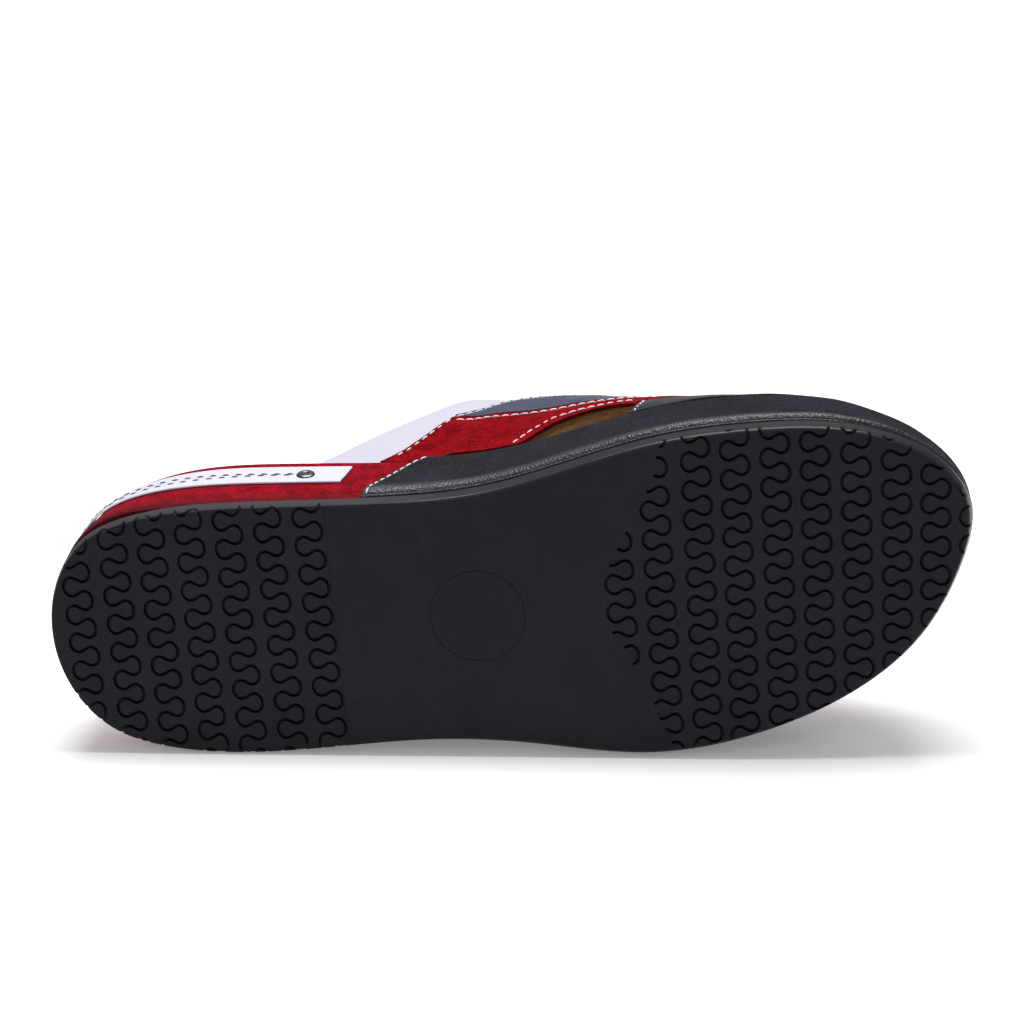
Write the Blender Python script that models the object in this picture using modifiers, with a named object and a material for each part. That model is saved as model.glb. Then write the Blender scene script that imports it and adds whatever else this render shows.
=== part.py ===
"""A left mule slipper on a wedge platform, lying on its lateral side.

The shoe is modelled standing: X runs from heel to toe, Y to the lateral side and Z up from the
tread. An empty then lays it on its side, turned until sole edge and upper both meet the floor.
"""

import math

import bmesh
import bpy
import numpy as np
from mathutils import Matrix, Vector

# Driving dimensions, in metres. BULGE_RISE is a power: above one it moves the bulge up the side,
# and TOE_GUARD_RISE is the share by which the guard is higher at the toe than at its back end
SOLE_LENGTH = 0.2832
BALL_WIDTH = 0.105
OUTSOLE_THICKNESS = 0.005
EDGE_BULGE = 0.0008
HEEL_HEIGHT = 0.037
TOE_SPRING = 0.005
PLATFORM_FLARE = 0.0024
PLATFORM_ROUNDING = 0.0012
RAND_LIP = 0.0025
RAND_LEATHER = 0.0013
RAND_ROLL = 0.0009
STRIP_HEIGHT = 0.0145
STRIP_LEATHER = 0.001
STRIP_BELOW_RIM = 0.0025
EYELET_RADIUS = 0.0028
EYELET_HEIGHT = 0.0012
INSOLE_THICKNESS = 0.003
INSOLE_INSET = 0.0042
INSOLE_ROUNDING = 0.001
INSTEP_HEIGHT = 0.106
UPPER_WALL = 0.002
UPPER_BULGE = 0.0045
BULGE_RISE = 1.05
UPPER_STAND = 0.0009
HEM = 0.0022
OVERLAY_LEATHER = 0.001
WINDOW_HEIGHT = 0.0145
TOE_GUARD_HEIGHT = 0.0145
TOE_GUARD_RISE = 0.3
SEAM_GAP = 0.0006
CLEARANCE = 0.0003
OVERLAY_CLEARANCE = 0.0007

# How finely the forms are divided
STATIONS = 46
RIBS_PER_SIDE = 30
RIB_POINTS = 11
NARROWEST_WAY = 0.008
EYELET_SIDES = 16

# The tread's outline, from the heel's back along the medial side to the toe and round again.
# Columns: along as a share of SOLE_LENGTH, across as a share of BALL_WIDTH, lateral positive
OUTLINE = (
    (0.000, 0.000),
    (0.019, -0.196),
    (0.042, -0.270),
    (0.087, -0.328),
    (0.238, -0.376),
    (0.376, -0.389),
    (0.474, -0.418),
    (0.565, -0.486),
    (0.664, -0.566),
    (0.778, -0.608),
    (0.860, -0.605),
    (0.929, -0.553),
    (0.979, -0.455),
    (1.000, -0.330),
    (0.994, -0.220),
    (0.975, -0.090),
    (0.946, 0.035),
    (0.881, 0.190),
    (0.782, 0.318),
    (0.652, 0.390),
    (0.521, 0.361),
    (0.390, 0.352),
    (0.227, 0.388),
    (0.120, 0.371),
    (0.063, 0.318),
    (0.026, 0.222),
)

# The platform's side.
# Columns: along as a share of SOLE_LENGTH, height of the rim as a share of HEEL_HEIGHT, and how far
# the rim on the medial and lateral side and the platform's foot stand out past the tread, as shares
# of PLATFORM_FLARE
RIM = (
    (0.00, 1.00, -0.5, 0.1, -0.4),
    (0.07, 1.00, 0.1, 0.1, -0.3),
    (0.14, 1.00, 0.9, 0.0, -0.3),
    (0.25, 1.00, 1.0, -0.1, -0.3),
    (0.42, 0.96, 0.6, -0.2, -0.3),
    (0.57, 0.88, 0.4, -0.2, -0.3),
    (0.70, 0.80, 0.4, -0.2, -0.3),
    (0.83, 0.70, 0.2, -0.2, -0.4),
    (0.93, 0.59, -0.4, -0.3, -0.6),
    (1.00, 0.56, -0.8, -0.5, -0.9),
)

# The upper's top line, from the collar to the toe.
# Columns: share of the way from collar to toe tip, along as a share of SOLE_LENGTH, across as a
# share of BALL_WIDTH, height as a share of INSTEP_HEIGHT
TOP_LINE = (
    (0.00, 0.500, -0.20, 1.00),
    (0.25, 0.585, -0.21, 0.90),
    (0.50, 0.685, -0.22, 0.74),
    (0.75, 0.775, -0.24, 0.61),
    (1.00, 0.835, -0.26, 0.56),
)

# The form of the ribs between the foot of the upper and its top line.
# Columns: share of the way from collar to toe tip, fullness of the medial and lateral side (two is
# an ellipse, more is squarer), bulge of each side as a share of UPPER_BULGE, lean along the shoe
RIBS = (
    (0.00, 4.0, 2.4, 2.0, 0.6, 1.0),
    (0.25, 3.4, 2.4, 1.7, 0.9, 1.0),
    (0.42, 2.6, 2.4, 0.3, 1.1, 1.0),
    (0.60, 1.9, 2.3, -0.3, 0.9, 0.8),
    (0.80, 1.8, 2.1, -0.3, 0.2, 0.3),
    (1.00, 1.8, 2.0, -0.3, -0.2, 0.0),
)

# Where the upper and its overlays begin and end, along the way from collar foot to toe tip
COLLAR_FOOT = 0.298
BAND_BACK = 0.075
PANEL_BACK = 0.10
GUARD_BACK = 0.445
TONGUE_TIP = 0.46
OVERLAP_WAY = 0.004

# The side window's arch.
# Columns: share of the way from collar to toe tip, height as a share of WINDOW_HEIGHT
WINDOW = (
    (0.275, 0.00),
    (0.290, 0.38),
    (0.315, 0.72),
    (0.345, 0.93),
    (0.375, 1.00),
    (0.405, 0.90),
    (0.430, 0.60),
    (0.445, 0.00),
)

# Places on the heel strip, as shares of SOLE_LENGTH
STRIP_END_BELOW = 0.316
STRIP_END_ABOVE = 0.325
EYELET_ALONG = 0.277

# Edges of the overlays.
# Columns: share of the way from collar to toe tip, and the rib's share reached by the red band's
# top edge and by the grey panel's top edge
EDGES = (
    (0.000, 0.44, 0.45),
    (0.100, 0.41, 0.46),
    (0.200, 0.40, 0.54),
    (0.300, 0.39, 0.66),
    (0.380, 0.38, 0.80),
    (0.460, 0.39, 1.00),
    (0.600, 0.42, 1.00),
    (0.800, 0.46, 1.00),
    (1.000, 0.48, 1.00),
)

# The rand's slanted back end.
# Columns: height share from outsole to rim, along as a share of SOLE_LENGTH
RAND_END = ((0.0, 0.331), (0.3, 0.341), (0.6, 0.366), (0.85, 0.386), (1.0, 0.402))

# The rand's outer face.
# Columns: height share from outsole to rim, leather and roll as shares of RAND_LEATHER, RAND_ROLL
RAND_PROFILE = (
    (0.000, 0.35, 0.0),
    (0.045, 0.90, 0.8),
    (0.110, 1.00, 1.0),
    (0.190, 1.00, 0.5),
    (0.290, 1.00, 0.0),
    (0.930, 1.00, 0.0),
    (1.000, 0.45, 0.0),
)

# The outsole's moulded edge.
# Columns: height as a share of OUTSOLE_THICKNESS, how far it stands out as a share of EDGE_BULGE
OUTSOLE_EDGE = (
    (0.00, 0.0),
    (0.20, 0.6),
    (0.50, 1.0),
    (0.85, 1.0),
    (1.00, 0.4),
)

# The rounded upper edge of the platform and of the footbed.
# Columns: how far the edge stands in and how far it lies below the top, as shares of the rounding
ROUNDED_EDGE = (
    (0.00, 1.00),
    (0.35, 0.35),
    (1.20, 0.00),
)

# The eyelet's section, from its axis over the ring to its foot.
# Columns: radius as a share of EYELET_RADIUS, height as a share of EYELET_HEIGHT
EYELET_PROFILE = (
    (0.00, 0.45),
    (0.45, 0.35),
    (0.60, 1.00),
    (0.85, 0.80),
    (1.00, 0.25),
    (1.00, 0.00),
    (0.00, 0.00),
)

# Base colour, roughness and metallic value of each material
MATERIALS = {
    "black_rubber": ((0.018, 0.017, 0.021), 0.62, 0.0),
    "red_suede": ((0.37, 0.012, 0.022), 0.95, 0.0),
    "black_leather": ((0.045, 0.046, 0.055), 0.35, 0.0),
    "white_leather": ((0.80, 0.80, 0.88), 0.5, 0.0),
    "grey_leather": ((0.08, 0.09, 0.14), 0.45, 0.0),
    "tan_leather": ((0.32, 0.17, 0.05), 0.6, 0.0),
    "dark_metal": ((0.12, 0.12, 0.12), 0.35, 1.0),
}


def spline(where, knots, values):
    """Values on the smooth curve through the knots."""
    knots = np.asarray(knots, float)
    values = np.asarray(values, float)
    steps = np.diff(knots)
    slopes = np.diff(values) / steps
    matrix = np.eye(len(knots))
    bends = np.zeros(len(knots))
    for i in range(1, len(knots) - 1):
        matrix[i, i - 1 : i + 2] = steps[i - 1], 2 * (steps[i - 1] + steps[i]), steps[i]
        bends[i] = 6 * (slopes[i] - slopes[i - 1])
    bends = np.linalg.solve(matrix, bends)
    k = np.clip(np.searchsorted(knots, where, side="right") - 1, 0, len(steps) - 1)
    before = (knots[k + 1] - where) / steps[k]
    after = 1 - before
    bent = (before**3 - before) * bends[k] + (after**3 - after) * bends[k + 1]
    return before * values[k] + after * values[k + 1] + bent * steps[k] ** 2 / 6


def column(table, number):
    return [row[number] for row in table]


def smooth_step(x, low, high):
    share = np.clip((x - low) / (high - low), 0, 1)
    return share * share * (3 - 2 * share)


# Outline of the sole


def sole_loop():
    """Points and outward normals round the tread, heel back first, paired side to side in X."""
    wrap = 3
    rows = OUTLINE[-wrap:] + OUTLINE + OUTLINE[: wrap + 1]
    knots = np.array(rows) * (SOLE_LENGTH, BALL_WIDTH)
    run = np.concatenate([[0], np.cumsum(np.linalg.norm(np.diff(knots, axis=0), axis=1))])
    fine = np.linspace(run[wrap], run[wrap + len(OUTLINE)], 1200, endpoint=False)
    curve = np.stack([spline(fine, run, knots[:, 0]), spline(fine, run, knots[:, 1])], axis=1)
    curve = np.roll(curve, -int(np.argmin(curve[:, 0])), axis=0)
    ahead = np.roll(curve, -1, axis=0) - np.roll(curve, 1, axis=0)
    ahead /= np.linalg.norm(ahead, axis=1)[:, None]
    dense = np.column_stack([curve, ahead[:, 1], -ahead[:, 0]])
    toe = int(np.argmax(curve[:, 0]))
    medial = dense[: toe + 1]
    lateral = np.vstack([dense[toe:], dense[:1]])[::-1]
    first, last = curve[0, 0], curve[toe, 0]
    along = first + (last - first) * (1 - np.cos(np.linspace(0, math.pi, STATIONS + 1))) / 2
    sides = []
    for side in (medial, lateral):
        sides.append(np.column_stack([np.interp(along, side[:, 0], side[:, k]) for k in range(4)]))
    return np.vstack([sides[0], sides[1][-2:0:-1]])


LOOP = sole_loop()
EVERYWHERE = np.arange(len(LOOP))


def on_loop(place):
    """Point and normal at a place on the loop, counted in stations from the heel's back."""
    count = len(LOOP)
    closed = np.vstack([LOOP, LOOP[:1]])
    place = np.mod(place, count)
    return np.stack([np.interp(place, np.arange(count + 1), closed[:, k]) for k in range(4)], axis=-1)


def place_at(along):
    """The place on the loop's medial side at this distance from the heel."""
    return np.interp(along, LOOP[: STATIONS + 1, 0], np.arange(STATIONS + 1))


# Heights along the shoe


def tread_height(x):
    start = 0.72 * SOLE_LENGTH
    share = np.clip((x - start) / (SOLE_LENGTH - start), 0, None)
    return TOE_SPRING * share**2


def rim_height(x):
    return HEEL_HEIGHT * spline(x / SOLE_LENGTH, column(RIM, 0), column(RIM, 1))


def lip_share(x):
    """None of the rand's lip stands above the platform at the heel, all of it in the forefoot."""
    return smooth_step(x / SOLE_LENGTH, 0.40, 0.44)


def platform_top(x):
    return rim_height(x) - RAND_LIP * lip_share(x)


def platform_bottom(x):
    return tread_height(x) + OUTSOLE_THICKNESS + CLEARANCE


def platform_half_way(x):
    return (platform_bottom(x) + platform_top(x)) / 2


def flare(x, across):
    """How far the rim stands out past the tread, given the outward normal's lateral part."""
    share = np.clip(x / SOLE_LENGTH, 0, 1)
    medial = spline(share, column(RIM, 0), column(RIM, 2))
    lateral = spline(share, column(RIM, 0), column(RIM, 3))
    return PLATFORM_FLARE * (medial * (1 - across) + lateral * (1 + across)) / 2


def platform_side(x, across, height):
    """How far the platform's side stands out past the tread at a height above the tread's plane."""
    foot = PLATFORM_FLARE * spline(np.clip(x / SOLE_LENGTH, 0, 1), column(RIM, 0), column(RIM, 4))
    share = (height - platform_bottom(x)) / (rim_height(x) - platform_bottom(x))
    return foot + (flare(x, across) - foot) * share


def spread(reach):
    """Places either side of a middle one: whole stations, then a few that lead to slanted ends."""
    whole = int(reach.min()) - 1
    middle = np.arange(-whole, whole + 1)[:, None] + 0 * reach
    lead = whole + (reach - whole) * np.array((0.35, 0.7, 1.0))[:, None]
    return np.vstack([-lead[::-1], middle, lead])


def grown(place, grow, height):
    """Points this far outside the tread's outline, where grow and height may depend on X."""
    x, y, out_x, out_y = np.moveaxis(on_loop(place), -1, 0)
    out = grow(x, out_y)
    x, y = x + out_x * out, y + out_y * out
    return np.stack([x, y, height(x)], axis=-1)


# Building solids


def material(name):
    colour, roughness, metallic = MATERIALS[name]
    made = bpy.data.materials.get(name) or bpy.data.materials.new(name)
    made.use_nodes = True
    shader = made.node_tree.nodes["Principled BSDF"]
    shader.inputs["Base Color"].default_value = (*colour, 1)
    shader.inputs["Roughness"].default_value = roughness
    shader.inputs["Metallic"].default_value = metallic
    return made


def new_object(name, bm, material_name):
    bmesh.ops.remove_doubles(bm, verts=bm.verts, dist=1e-6)
    mesh = bpy.data.meshes.new(name)
    bm.to_mesh(mesh)
    bm.free()
    mesh.materials.append(material(material_name))
    mesh.shade_smooth()
    mesh.set_sharp_from_angle(angle=math.radians(40))
    made = bpy.data.objects.new(name, mesh)
    parts.objects.link(made)
    return made


def stack(name, rings, material_name):
    """A solid of outline rings, lowest first, closed by strips from side to side."""
    bm = bmesh.new()
    loops = [[bm.verts.new(point) for point in ring] for ring in rings]
    count = len(loops[0])
    for low, high in zip(loops, loops[1:]):
        for i in range(count):
            j = (i + 1) % count
            bm.faces.new((low[i], low[j], high[j], high[i]))
    for loop, turned in ((loops[0], True), (loops[-1], False)):
        for i in range(count // 2):
            corners = [loop[i], loop[i + 1], loop[-i - 1], loop[-i % count]]
            corners = list(dict.fromkeys(corners))
            bm.faces.new(corners[::-1] if turned else corners)
    return new_object(name, bm, material_name)


def slab(name, outer, inner, material_name):
    """A solid between two grids of points, such as a strip of leather."""
    bm = bmesh.new()
    skins = []
    for grid in (outer, inner):
        skins.append([[bm.verts.new(point) for point in row] for row in grid])
    rows, columns = len(outer), len(outer[0])
    for skin in skins:
        for i in range(rows - 1):
            for j in range(columns - 1):
                bm.faces.new((skin[i][j], skin[i + 1][j], skin[i + 1][j + 1], skin[i][j + 1]))
    border = [(i, 0) for i in range(rows)]
    border += [(rows - 1, j) for j in range(1, columns)]
    border += [(i, columns - 1) for i in range(rows - 2, -1, -1)]
    border += [(0, j) for j in range(columns - 2, 0, -1)]
    for (i, j), (k, m) in zip(border, border[1:] + border[:1]):
        bm.faces.new((skins[0][i][j], skins[0][k][m], skins[1][k][m], skins[1][i][j]))
    bmesh.ops.recalc_face_normals(bm, faces=bm.faces)
    return new_object(name, bm, material_name)


# Sole


def make_outsole():
    rings = []
    for share, out in OUTSOLE_EDGE:
        rings.append(
            grown(
                EVERYWHERE,
                lambda x, across, out=out: EDGE_BULGE * out + 0 * x,
                lambda x, share=share: tread_height(x) + OUTSOLE_THICKNESS * share,
            )
        )
    stack("outsole", rings, "black_rubber")


def make_midsole():
    half = platform_half_way
    rings = [
        grown(EVERYWHERE, lambda x, across: platform_side(x, across, platform_bottom(x)), platform_bottom),
        grown(EVERYWHERE, lambda x, across: platform_side(x, across, half(x)), half),
    ]
    for inset, drop in ROUNDED_EDGE:

        def height(x, drop=drop):
            return platform_top(x) - drop * PLATFORM_ROUNDING

        def out(x, across, inset=inset, height=height):
            return platform_side(x, across, height(x)) - inset * PLATFORM_ROUNDING

        rings.append(grown(EVERYWHERE, out, height))
    stack("midsole", rings, "red_suede")


def make_rand():
    shares = np.array(column(RAND_PROFILE, 0))
    end = place_at(spline(shares, column(RAND_END, 0), column(RAND_END, 1)) * SOLE_LENGTH)
    places = STATIONS + spread(STATIONS - end)
    leather = RAND_LEATHER * np.array(column(RAND_PROFILE, 1))
    roll = RAND_ROLL * np.array(column(RAND_PROFILE, 2))

    def height(x):
        return platform_bottom(x) * (1 - shares) + rim_height(x) * shares

    def skin(thickness):
        def out(x, across):
            return platform_side(x, across, height(x)) + CLEARANCE + thickness

        return grown(places, out, height)

    slab("rand", skin(leather + roll), skin(0 * leather), "black_leather")


def strip_skin(places, shares, thickness):
    """Points of the heel strip, at height shares from its lower to its upper edge."""

    def height(x):
        return rim_height(x) - STRIP_BELOW_RIM - STRIP_HEIGHT * (1 - shares)

    def out(x, across):
        return platform_side(x, across, height(x)) + CLEARANCE + thickness

    return grown(places, out, height)


def make_heel_strip():
    shares = np.array((0.0, 0.06, 0.94, 1.0))
    along = STRIP_END_BELOW + (STRIP_END_ABOVE - STRIP_END_BELOW) * shares
    places = spread(place_at(along * SOLE_LENGTH))
    leather = STRIP_LEATHER * np.array((0.5, 1.0, 1.0, 0.5))
    slab(
        "heel_strip",
        strip_skin(places, shares, leather),
        strip_skin(places, shares, 0 * leather),
        "white_leather",
    )


def make_eyelet(name, side):
    """A domed eyelet on the heel strip, its axis square to the leather."""
    place = side * place_at(EYELET_ALONG * SOLE_LENGTH)
    near = np.array([[place - 0.1, place + 0.1], [place, place]])
    share = np.array([[0.5, 0.5], [0.4, 0.6]])
    points = strip_skin(near, share, STRIP_LEATHER + CLEARANCE)
    seat = Vector(points[1].mean(axis=0))
    normal = Vector(points[0, 1] - points[0, 0]).cross(Vector(points[1, 1] - points[1, 0]))
    bm = bmesh.new()
    corners = [bm.verts.new((r * EYELET_RADIUS, 0, h * EYELET_HEIGHT)) for r, h in EYELET_PROFILE]
    edges = [bm.edges.new(pair) for pair in zip(corners, corners[1:])]
    bmesh.ops.spin(
        bm,
        geom=corners + edges,
        cent=(0, 0, 0),
        axis=(0, 0, 1),
        angle=2 * math.pi,
        steps=EYELET_SIDES,
        use_merge=True,
    )
    bmesh.ops.remove_doubles(bm, verts=bm.verts, dist=1e-6)
    bmesh.ops.recalc_face_normals(bm, faces=bm.faces)
    eyelet = new_object(name, bm, "dark_metal")
    turn = Vector((0, 0, 1)).rotation_difference(normal.normalized()).to_matrix().to_4x4()
    eyelet.matrix_world = Matrix.Translation(seat) @ turn


def make_insole():
    def edge(inset, height):
        return grown(
            EVERYWHERE,
            lambda x, across: flare(x, across) - INSOLE_INSET - inset,
            lambda x: platform_top(x) + CLEARANCE + height,
        )

    rings = [edge(0, 0)]
    for inset, drop in ROUNDED_EDGE:
        rings.append(edge(inset * INSOLE_ROUNDING, INSOLE_THICKNESS - drop * INSOLE_ROUNDING))
    stack("insole", rings, "tan_leather")


# Upper


def foot_of_side(side):
    """The line on the platform that one side of the upper stands on, from collar to toe tip."""
    first = place_at(COLLAR_FOOT * SOLE_LENGTH)
    places = STATIONS + side * (STATIONS - np.linspace(first, STATIONS, 400))

    def out(x, across):
        side = platform_side(x, across, platform_top(x))
        return side - UPPER_WALL * (0.8 - 0.7 * lip_share(x))

    points = grown(places, out, lambda x: platform_top(x) + UPPER_STAND)
    return points, on_loop(places)[:, 2:]


FEET = {side: foot_of_side(side) for side in (-1, 1)}


def ways_with(corners):
    """The upper's rib places from the first corner to the toe tip, with each corner among them."""
    fixed = [*corners, *(way for way in column(WINDOW, 0) if way > corners[0]), 1.0]
    even = np.linspace(0, 1, RIBS_PER_SIDE)
    free = [way for way in even if way > corners[0] and min(abs(way - c) for c in fixed) > NARROWEST_WAY]
    return np.array(sorted({*fixed, *free}))


def rib(way, side):
    """Fine points of one rib, from the foot to the top line, and their distances along it."""
    foot, normals = FEET[side]
    run = np.concatenate([[0], np.cumsum(np.linalg.norm(np.diff(foot, axis=0), axis=1))])
    run /= run[-1]
    start = np.array([np.interp(way, run, foot[:, k]) for k in range(3)])
    normal = np.array([np.interp(way, run, normals[:, k]) for k in range(2)])
    share, along, across, height = (column(TOP_LINE, k) for k in range(4))
    top = np.array(
        [
            spline(way, share, along) * SOLE_LENGTH,
            spline(way, share, across) * BALL_WIDTH,
            spline(way, share, height) * INSTEP_HEIGHT,
        ]
    )
    share = column(RIBS, 0)
    fullness = spline(way, share, column(RIBS, 1 if side < 0 else 2))
    bulge = spline(way, share, column(RIBS, 3 if side < 0 else 4)) * UPPER_BULGE
    lean = np.clip(spline(way, share, column(RIBS, 5)), 0, 1)
    angle = np.linspace(0, math.pi / 2, 90)
    inward = 1 - np.maximum(np.cos(angle), 0) ** (2 / fullness)
    upward = np.sin(angle) ** (2 / fullness)
    in_lip = (RAND_LIP + 2 * CLEARANCE) / (top[2] - start[2])
    free = np.clip((upward - in_lip) / (1 - in_lip), 0, 1)
    out = bulge * np.sin(math.pi * free**BULGE_RISE)
    x = start[0] + (top[0] - start[0]) * (lean * upward + (1 - lean) * inward) + normal[0] * out
    y = start[1] + (top[1] - start[1]) * inward + normal[1] * out
    z = start[2] + (top[2] - start[2]) * upward
    points = np.stack([x, y, z], axis=1)
    steps = np.linalg.norm(np.diff(points, axis=0), axis=1)
    return points, np.concatenate([[0], np.cumsum(steps)])


def rib_part(way, side, low, high, count):
    """Points of a rib between two distances along it: a short hem, then evenly spaced ones."""
    points, run = rib(way, side)
    first, last = low(way, run[-1]), high(way, run[-1])
    hem = min(HEM, (last - first) / count)
    where = np.concatenate([[first], np.linspace(first + hem, last, count - 1)])
    return np.stack([np.interp(where, run, points[:, k]) for k in range(3)], axis=1)


def patch(name, corners, low, high, count, lift, thickness, material_name):
    """A sheet on the upper's surface, both sides joined round the toe, and its thickness."""
    ways = ways_with(corners)
    rows = [rib_part(way, -1, low, high, count) for way in ways]
    rows += [rib_part(way, 1, low, high, count) for way in ways[-2::-1]]
    bm = bmesh.new()
    grid = [[bm.verts.new(point) for point in row] for row in rows]
    for before, after in zip(grid, grid[1:]):
        for j in range(count - 1):
            bm.faces.new((before[j], after[j], after[j + 1], before[j + 1]))
    bmesh.ops.remove_doubles(bm, verts=bm.verts, dist=1e-6)
    bm.normal_update()
    for vert in bm.verts:
        vert.co += vert.normal * lift
    made = new_object(name, bm, material_name)
    solidify = made.modifiers.new("leather", "SOLIDIFY")
    solidify.thickness = abs(thickness)
    solidify.offset = math.copysign(1, thickness)
    solidify.use_even_offset = True
    solidify.use_quality_normals = True
    return made


def above_rim(way, length):
    """The distance up a rib that clears the rand's lip."""
    return RAND_LIP + 2 * CLEARANCE + 0 * way


def window_edge(way):
    """The height of the side window's arch above the rim, and none where there is no window."""
    return WINDOW_HEIGHT * np.interp(way, column(WINDOW, 0), column(WINDOW, 1), 0, 0)


def band_top(way, length):
    return length * spline(way, column(EDGES, 0), column(EDGES, 1))


def panel_top(way, length):
    """The grey panel's top edge, which reaches the top line at the tip of the tongue."""
    share = spline(way, column(EDGES, 0), column(EDGES, 2))
    return length * (1 if way >= TONGUE_TIP else min(share, 1 - SEAM_GAP / length))


def guard_top(way, length):
    """The toe guard's top edge, higher at the toe than at its back end."""
    return RAND_LIP + TOE_GUARD_HEIGHT * (1 + TOE_GUARD_RISE * smooth_step(way, 0.55, 1.0))


def make_upper():
    def low(way, length):
        arch = window_edge(way)
        return arch + RAND_LIP if arch else 0

    patch(
        "upper",
        (0.0,),
        low,
        lambda way, length: length,
        RIB_POINTS,
        0,
        -UPPER_WALL,
        "white_leather",
    )


def make_side_band():
    def low(way, length):
        if way >= GUARD_BACK:
            return guard_top(way, length) + SEAM_GAP
        return max(above_rim(way, length), window_edge(way) + RAND_LIP)

    patch(
        "side_band",
        (BAND_BACK, GUARD_BACK - OVERLAP_WAY),
        low,
        band_top,
        5,
        OVERLAY_CLEARANCE,
        OVERLAY_LEATHER,
        "red_suede",
    )


def make_vamp_panel():
    patch(
        "vamp_panel",
        (PANEL_BACK, TONGUE_TIP),
        lambda way, length: band_top(way, length) + SEAM_GAP,
        panel_top,
        9,
        OVERLAY_CLEARANCE,
        OVERLAY_LEATHER,
        "grey_leather",
    )


def make_toe_guard():
    patch(
        "toe_guard",
        (GUARD_BACK + OVERLAP_WAY,),
        above_rim,
        guard_top,
        5,
        OVERLAY_CLEARANCE,
        OVERLAY_LEATHER,
        "black_leather",
    )


# Laying the shoe on its side


def solid_points():
    """Every point of every solid, and the centre of their volume, in the standing shoe's axes."""
    bpy.context.view_layer.update()
    graph = bpy.context.evaluated_depsgraph_get()
    points = []
    moment, volume = Vector(), 0
    for piece in parts.objects:
        bm = bmesh.new()
        bm.from_object(piece, graph)
        bm.transform(piece.matrix_world)
        points += [vert.co.copy() for vert in bm.verts]
        for a, b, c in (tuple(loop.vert.co for loop in face) for face in bm.calc_loop_triangles()):
            part = a.dot(b.cross(c)) / 6
            moment += part * (a + b + c) / 4
            volume += part
        bm.free()
    return points, moment / volume


def resting_turn(points, centre):
    """The turn that sets the hull's face under the centre on the floor."""
    bm = bmesh.new()
    for point in points:
        bm.verts.new(point)
    bmesh.ops.convex_hull(bm, input=bm.verts)
    bmesh.ops.triangulate(bm, faces=bm.faces)
    bm.normal_update()
    under = None
    for face in bm.faces:
        a, b, c = (vert.co for vert in face.verts)
        turns = [(q.xy - p.xy).cross(centre.xy - p.xy) for p, q in ((a, b), (b, c), (c, a))]
        if face.normal.z < -0.5 and (max(turns) <= 0 or min(turns) >= 0):
            under = face.normal.copy()
    bm.free()
    return under.rotation_difference(Vector((0, 0, -1))).to_matrix().to_4x4()


def lay_down():
    """Parents every piece to an empty that lays the shoe on its lateral side."""
    on_side = Matrix.Rotation(-math.pi / 2, 4, "X")
    points, centre = solid_points()
    points = [on_side @ point for point in points]
    turn = resting_turn(points, on_side @ centre)
    points = np.array([turn @ point for point in points])
    low, high = points.min(axis=0), points.max(axis=0)
    shift = Matrix.Translation((-(low[0] + high[0]) / 2, -(low[1] + high[1]) / 2, -low[2]))
    pose = bpy.data.objects.new("lying_pose", None)
    bpy.context.scene.collection.objects.link(pose)
    pose.matrix_world = shift @ turn @ on_side
    for piece in parts.objects:
        piece.parent = pose


for old in list(bpy.data.objects):
    bpy.data.objects.remove(old, do_unlink=True)
parts = bpy.data.collections.new("slipper")
bpy.context.scene.collection.children.link(parts)
make_outsole()
make_midsole()
make_rand()
make_heel_strip()
make_eyelet("eyelet_medial", 1)
make_eyelet("eyelet_lateral", -1)
make_insole()
make_upper()
make_side_band()
make_vamp_panel()
make_toe_guard()
lay_down()
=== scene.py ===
# %% [markdown]
# # A left mule slipper, lying on its side
#
# A mule has a closed toe and no back. This one stands on a wedge platform, and it is shown from
# under its sole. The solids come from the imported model. Each step below dresses one of them:
# it says what the piece is on the real shoe, how it could be made, and why this way was chosen.

# %% Load the solids
import math

import bmesh
import bpy
import numpy as np
from mathutils import Matrix, Vector


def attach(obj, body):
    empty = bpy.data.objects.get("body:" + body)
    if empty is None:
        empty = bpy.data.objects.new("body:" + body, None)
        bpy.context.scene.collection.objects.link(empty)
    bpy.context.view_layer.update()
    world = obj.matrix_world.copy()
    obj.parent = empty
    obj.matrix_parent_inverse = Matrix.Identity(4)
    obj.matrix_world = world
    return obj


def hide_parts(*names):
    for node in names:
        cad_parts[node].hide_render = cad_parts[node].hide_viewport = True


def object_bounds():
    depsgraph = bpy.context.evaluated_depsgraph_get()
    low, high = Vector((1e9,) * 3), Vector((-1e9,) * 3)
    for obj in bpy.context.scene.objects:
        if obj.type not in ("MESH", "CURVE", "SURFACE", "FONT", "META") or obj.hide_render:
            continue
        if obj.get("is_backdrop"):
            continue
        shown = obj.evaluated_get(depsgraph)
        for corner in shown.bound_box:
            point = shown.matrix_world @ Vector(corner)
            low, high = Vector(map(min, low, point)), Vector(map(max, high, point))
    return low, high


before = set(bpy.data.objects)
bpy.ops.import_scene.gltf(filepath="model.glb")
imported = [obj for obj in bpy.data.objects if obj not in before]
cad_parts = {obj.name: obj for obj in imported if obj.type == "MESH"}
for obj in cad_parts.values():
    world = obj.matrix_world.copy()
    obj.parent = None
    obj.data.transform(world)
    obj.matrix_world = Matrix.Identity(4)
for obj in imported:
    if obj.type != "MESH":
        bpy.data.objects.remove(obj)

solid_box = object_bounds()
print("solids:", ", ".join(sorted(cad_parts)))

# %% [markdown]
# ## The shoe's own sizes
#
# Every piece follows the same few curves: the outline of the sole, the heights of the platform,
# and the ribs of the upper. They are given once here, standing, with X from heel to toe, Y to the
# lateral side and Z up from the tread. One matrix then lays any point on its side.

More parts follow.
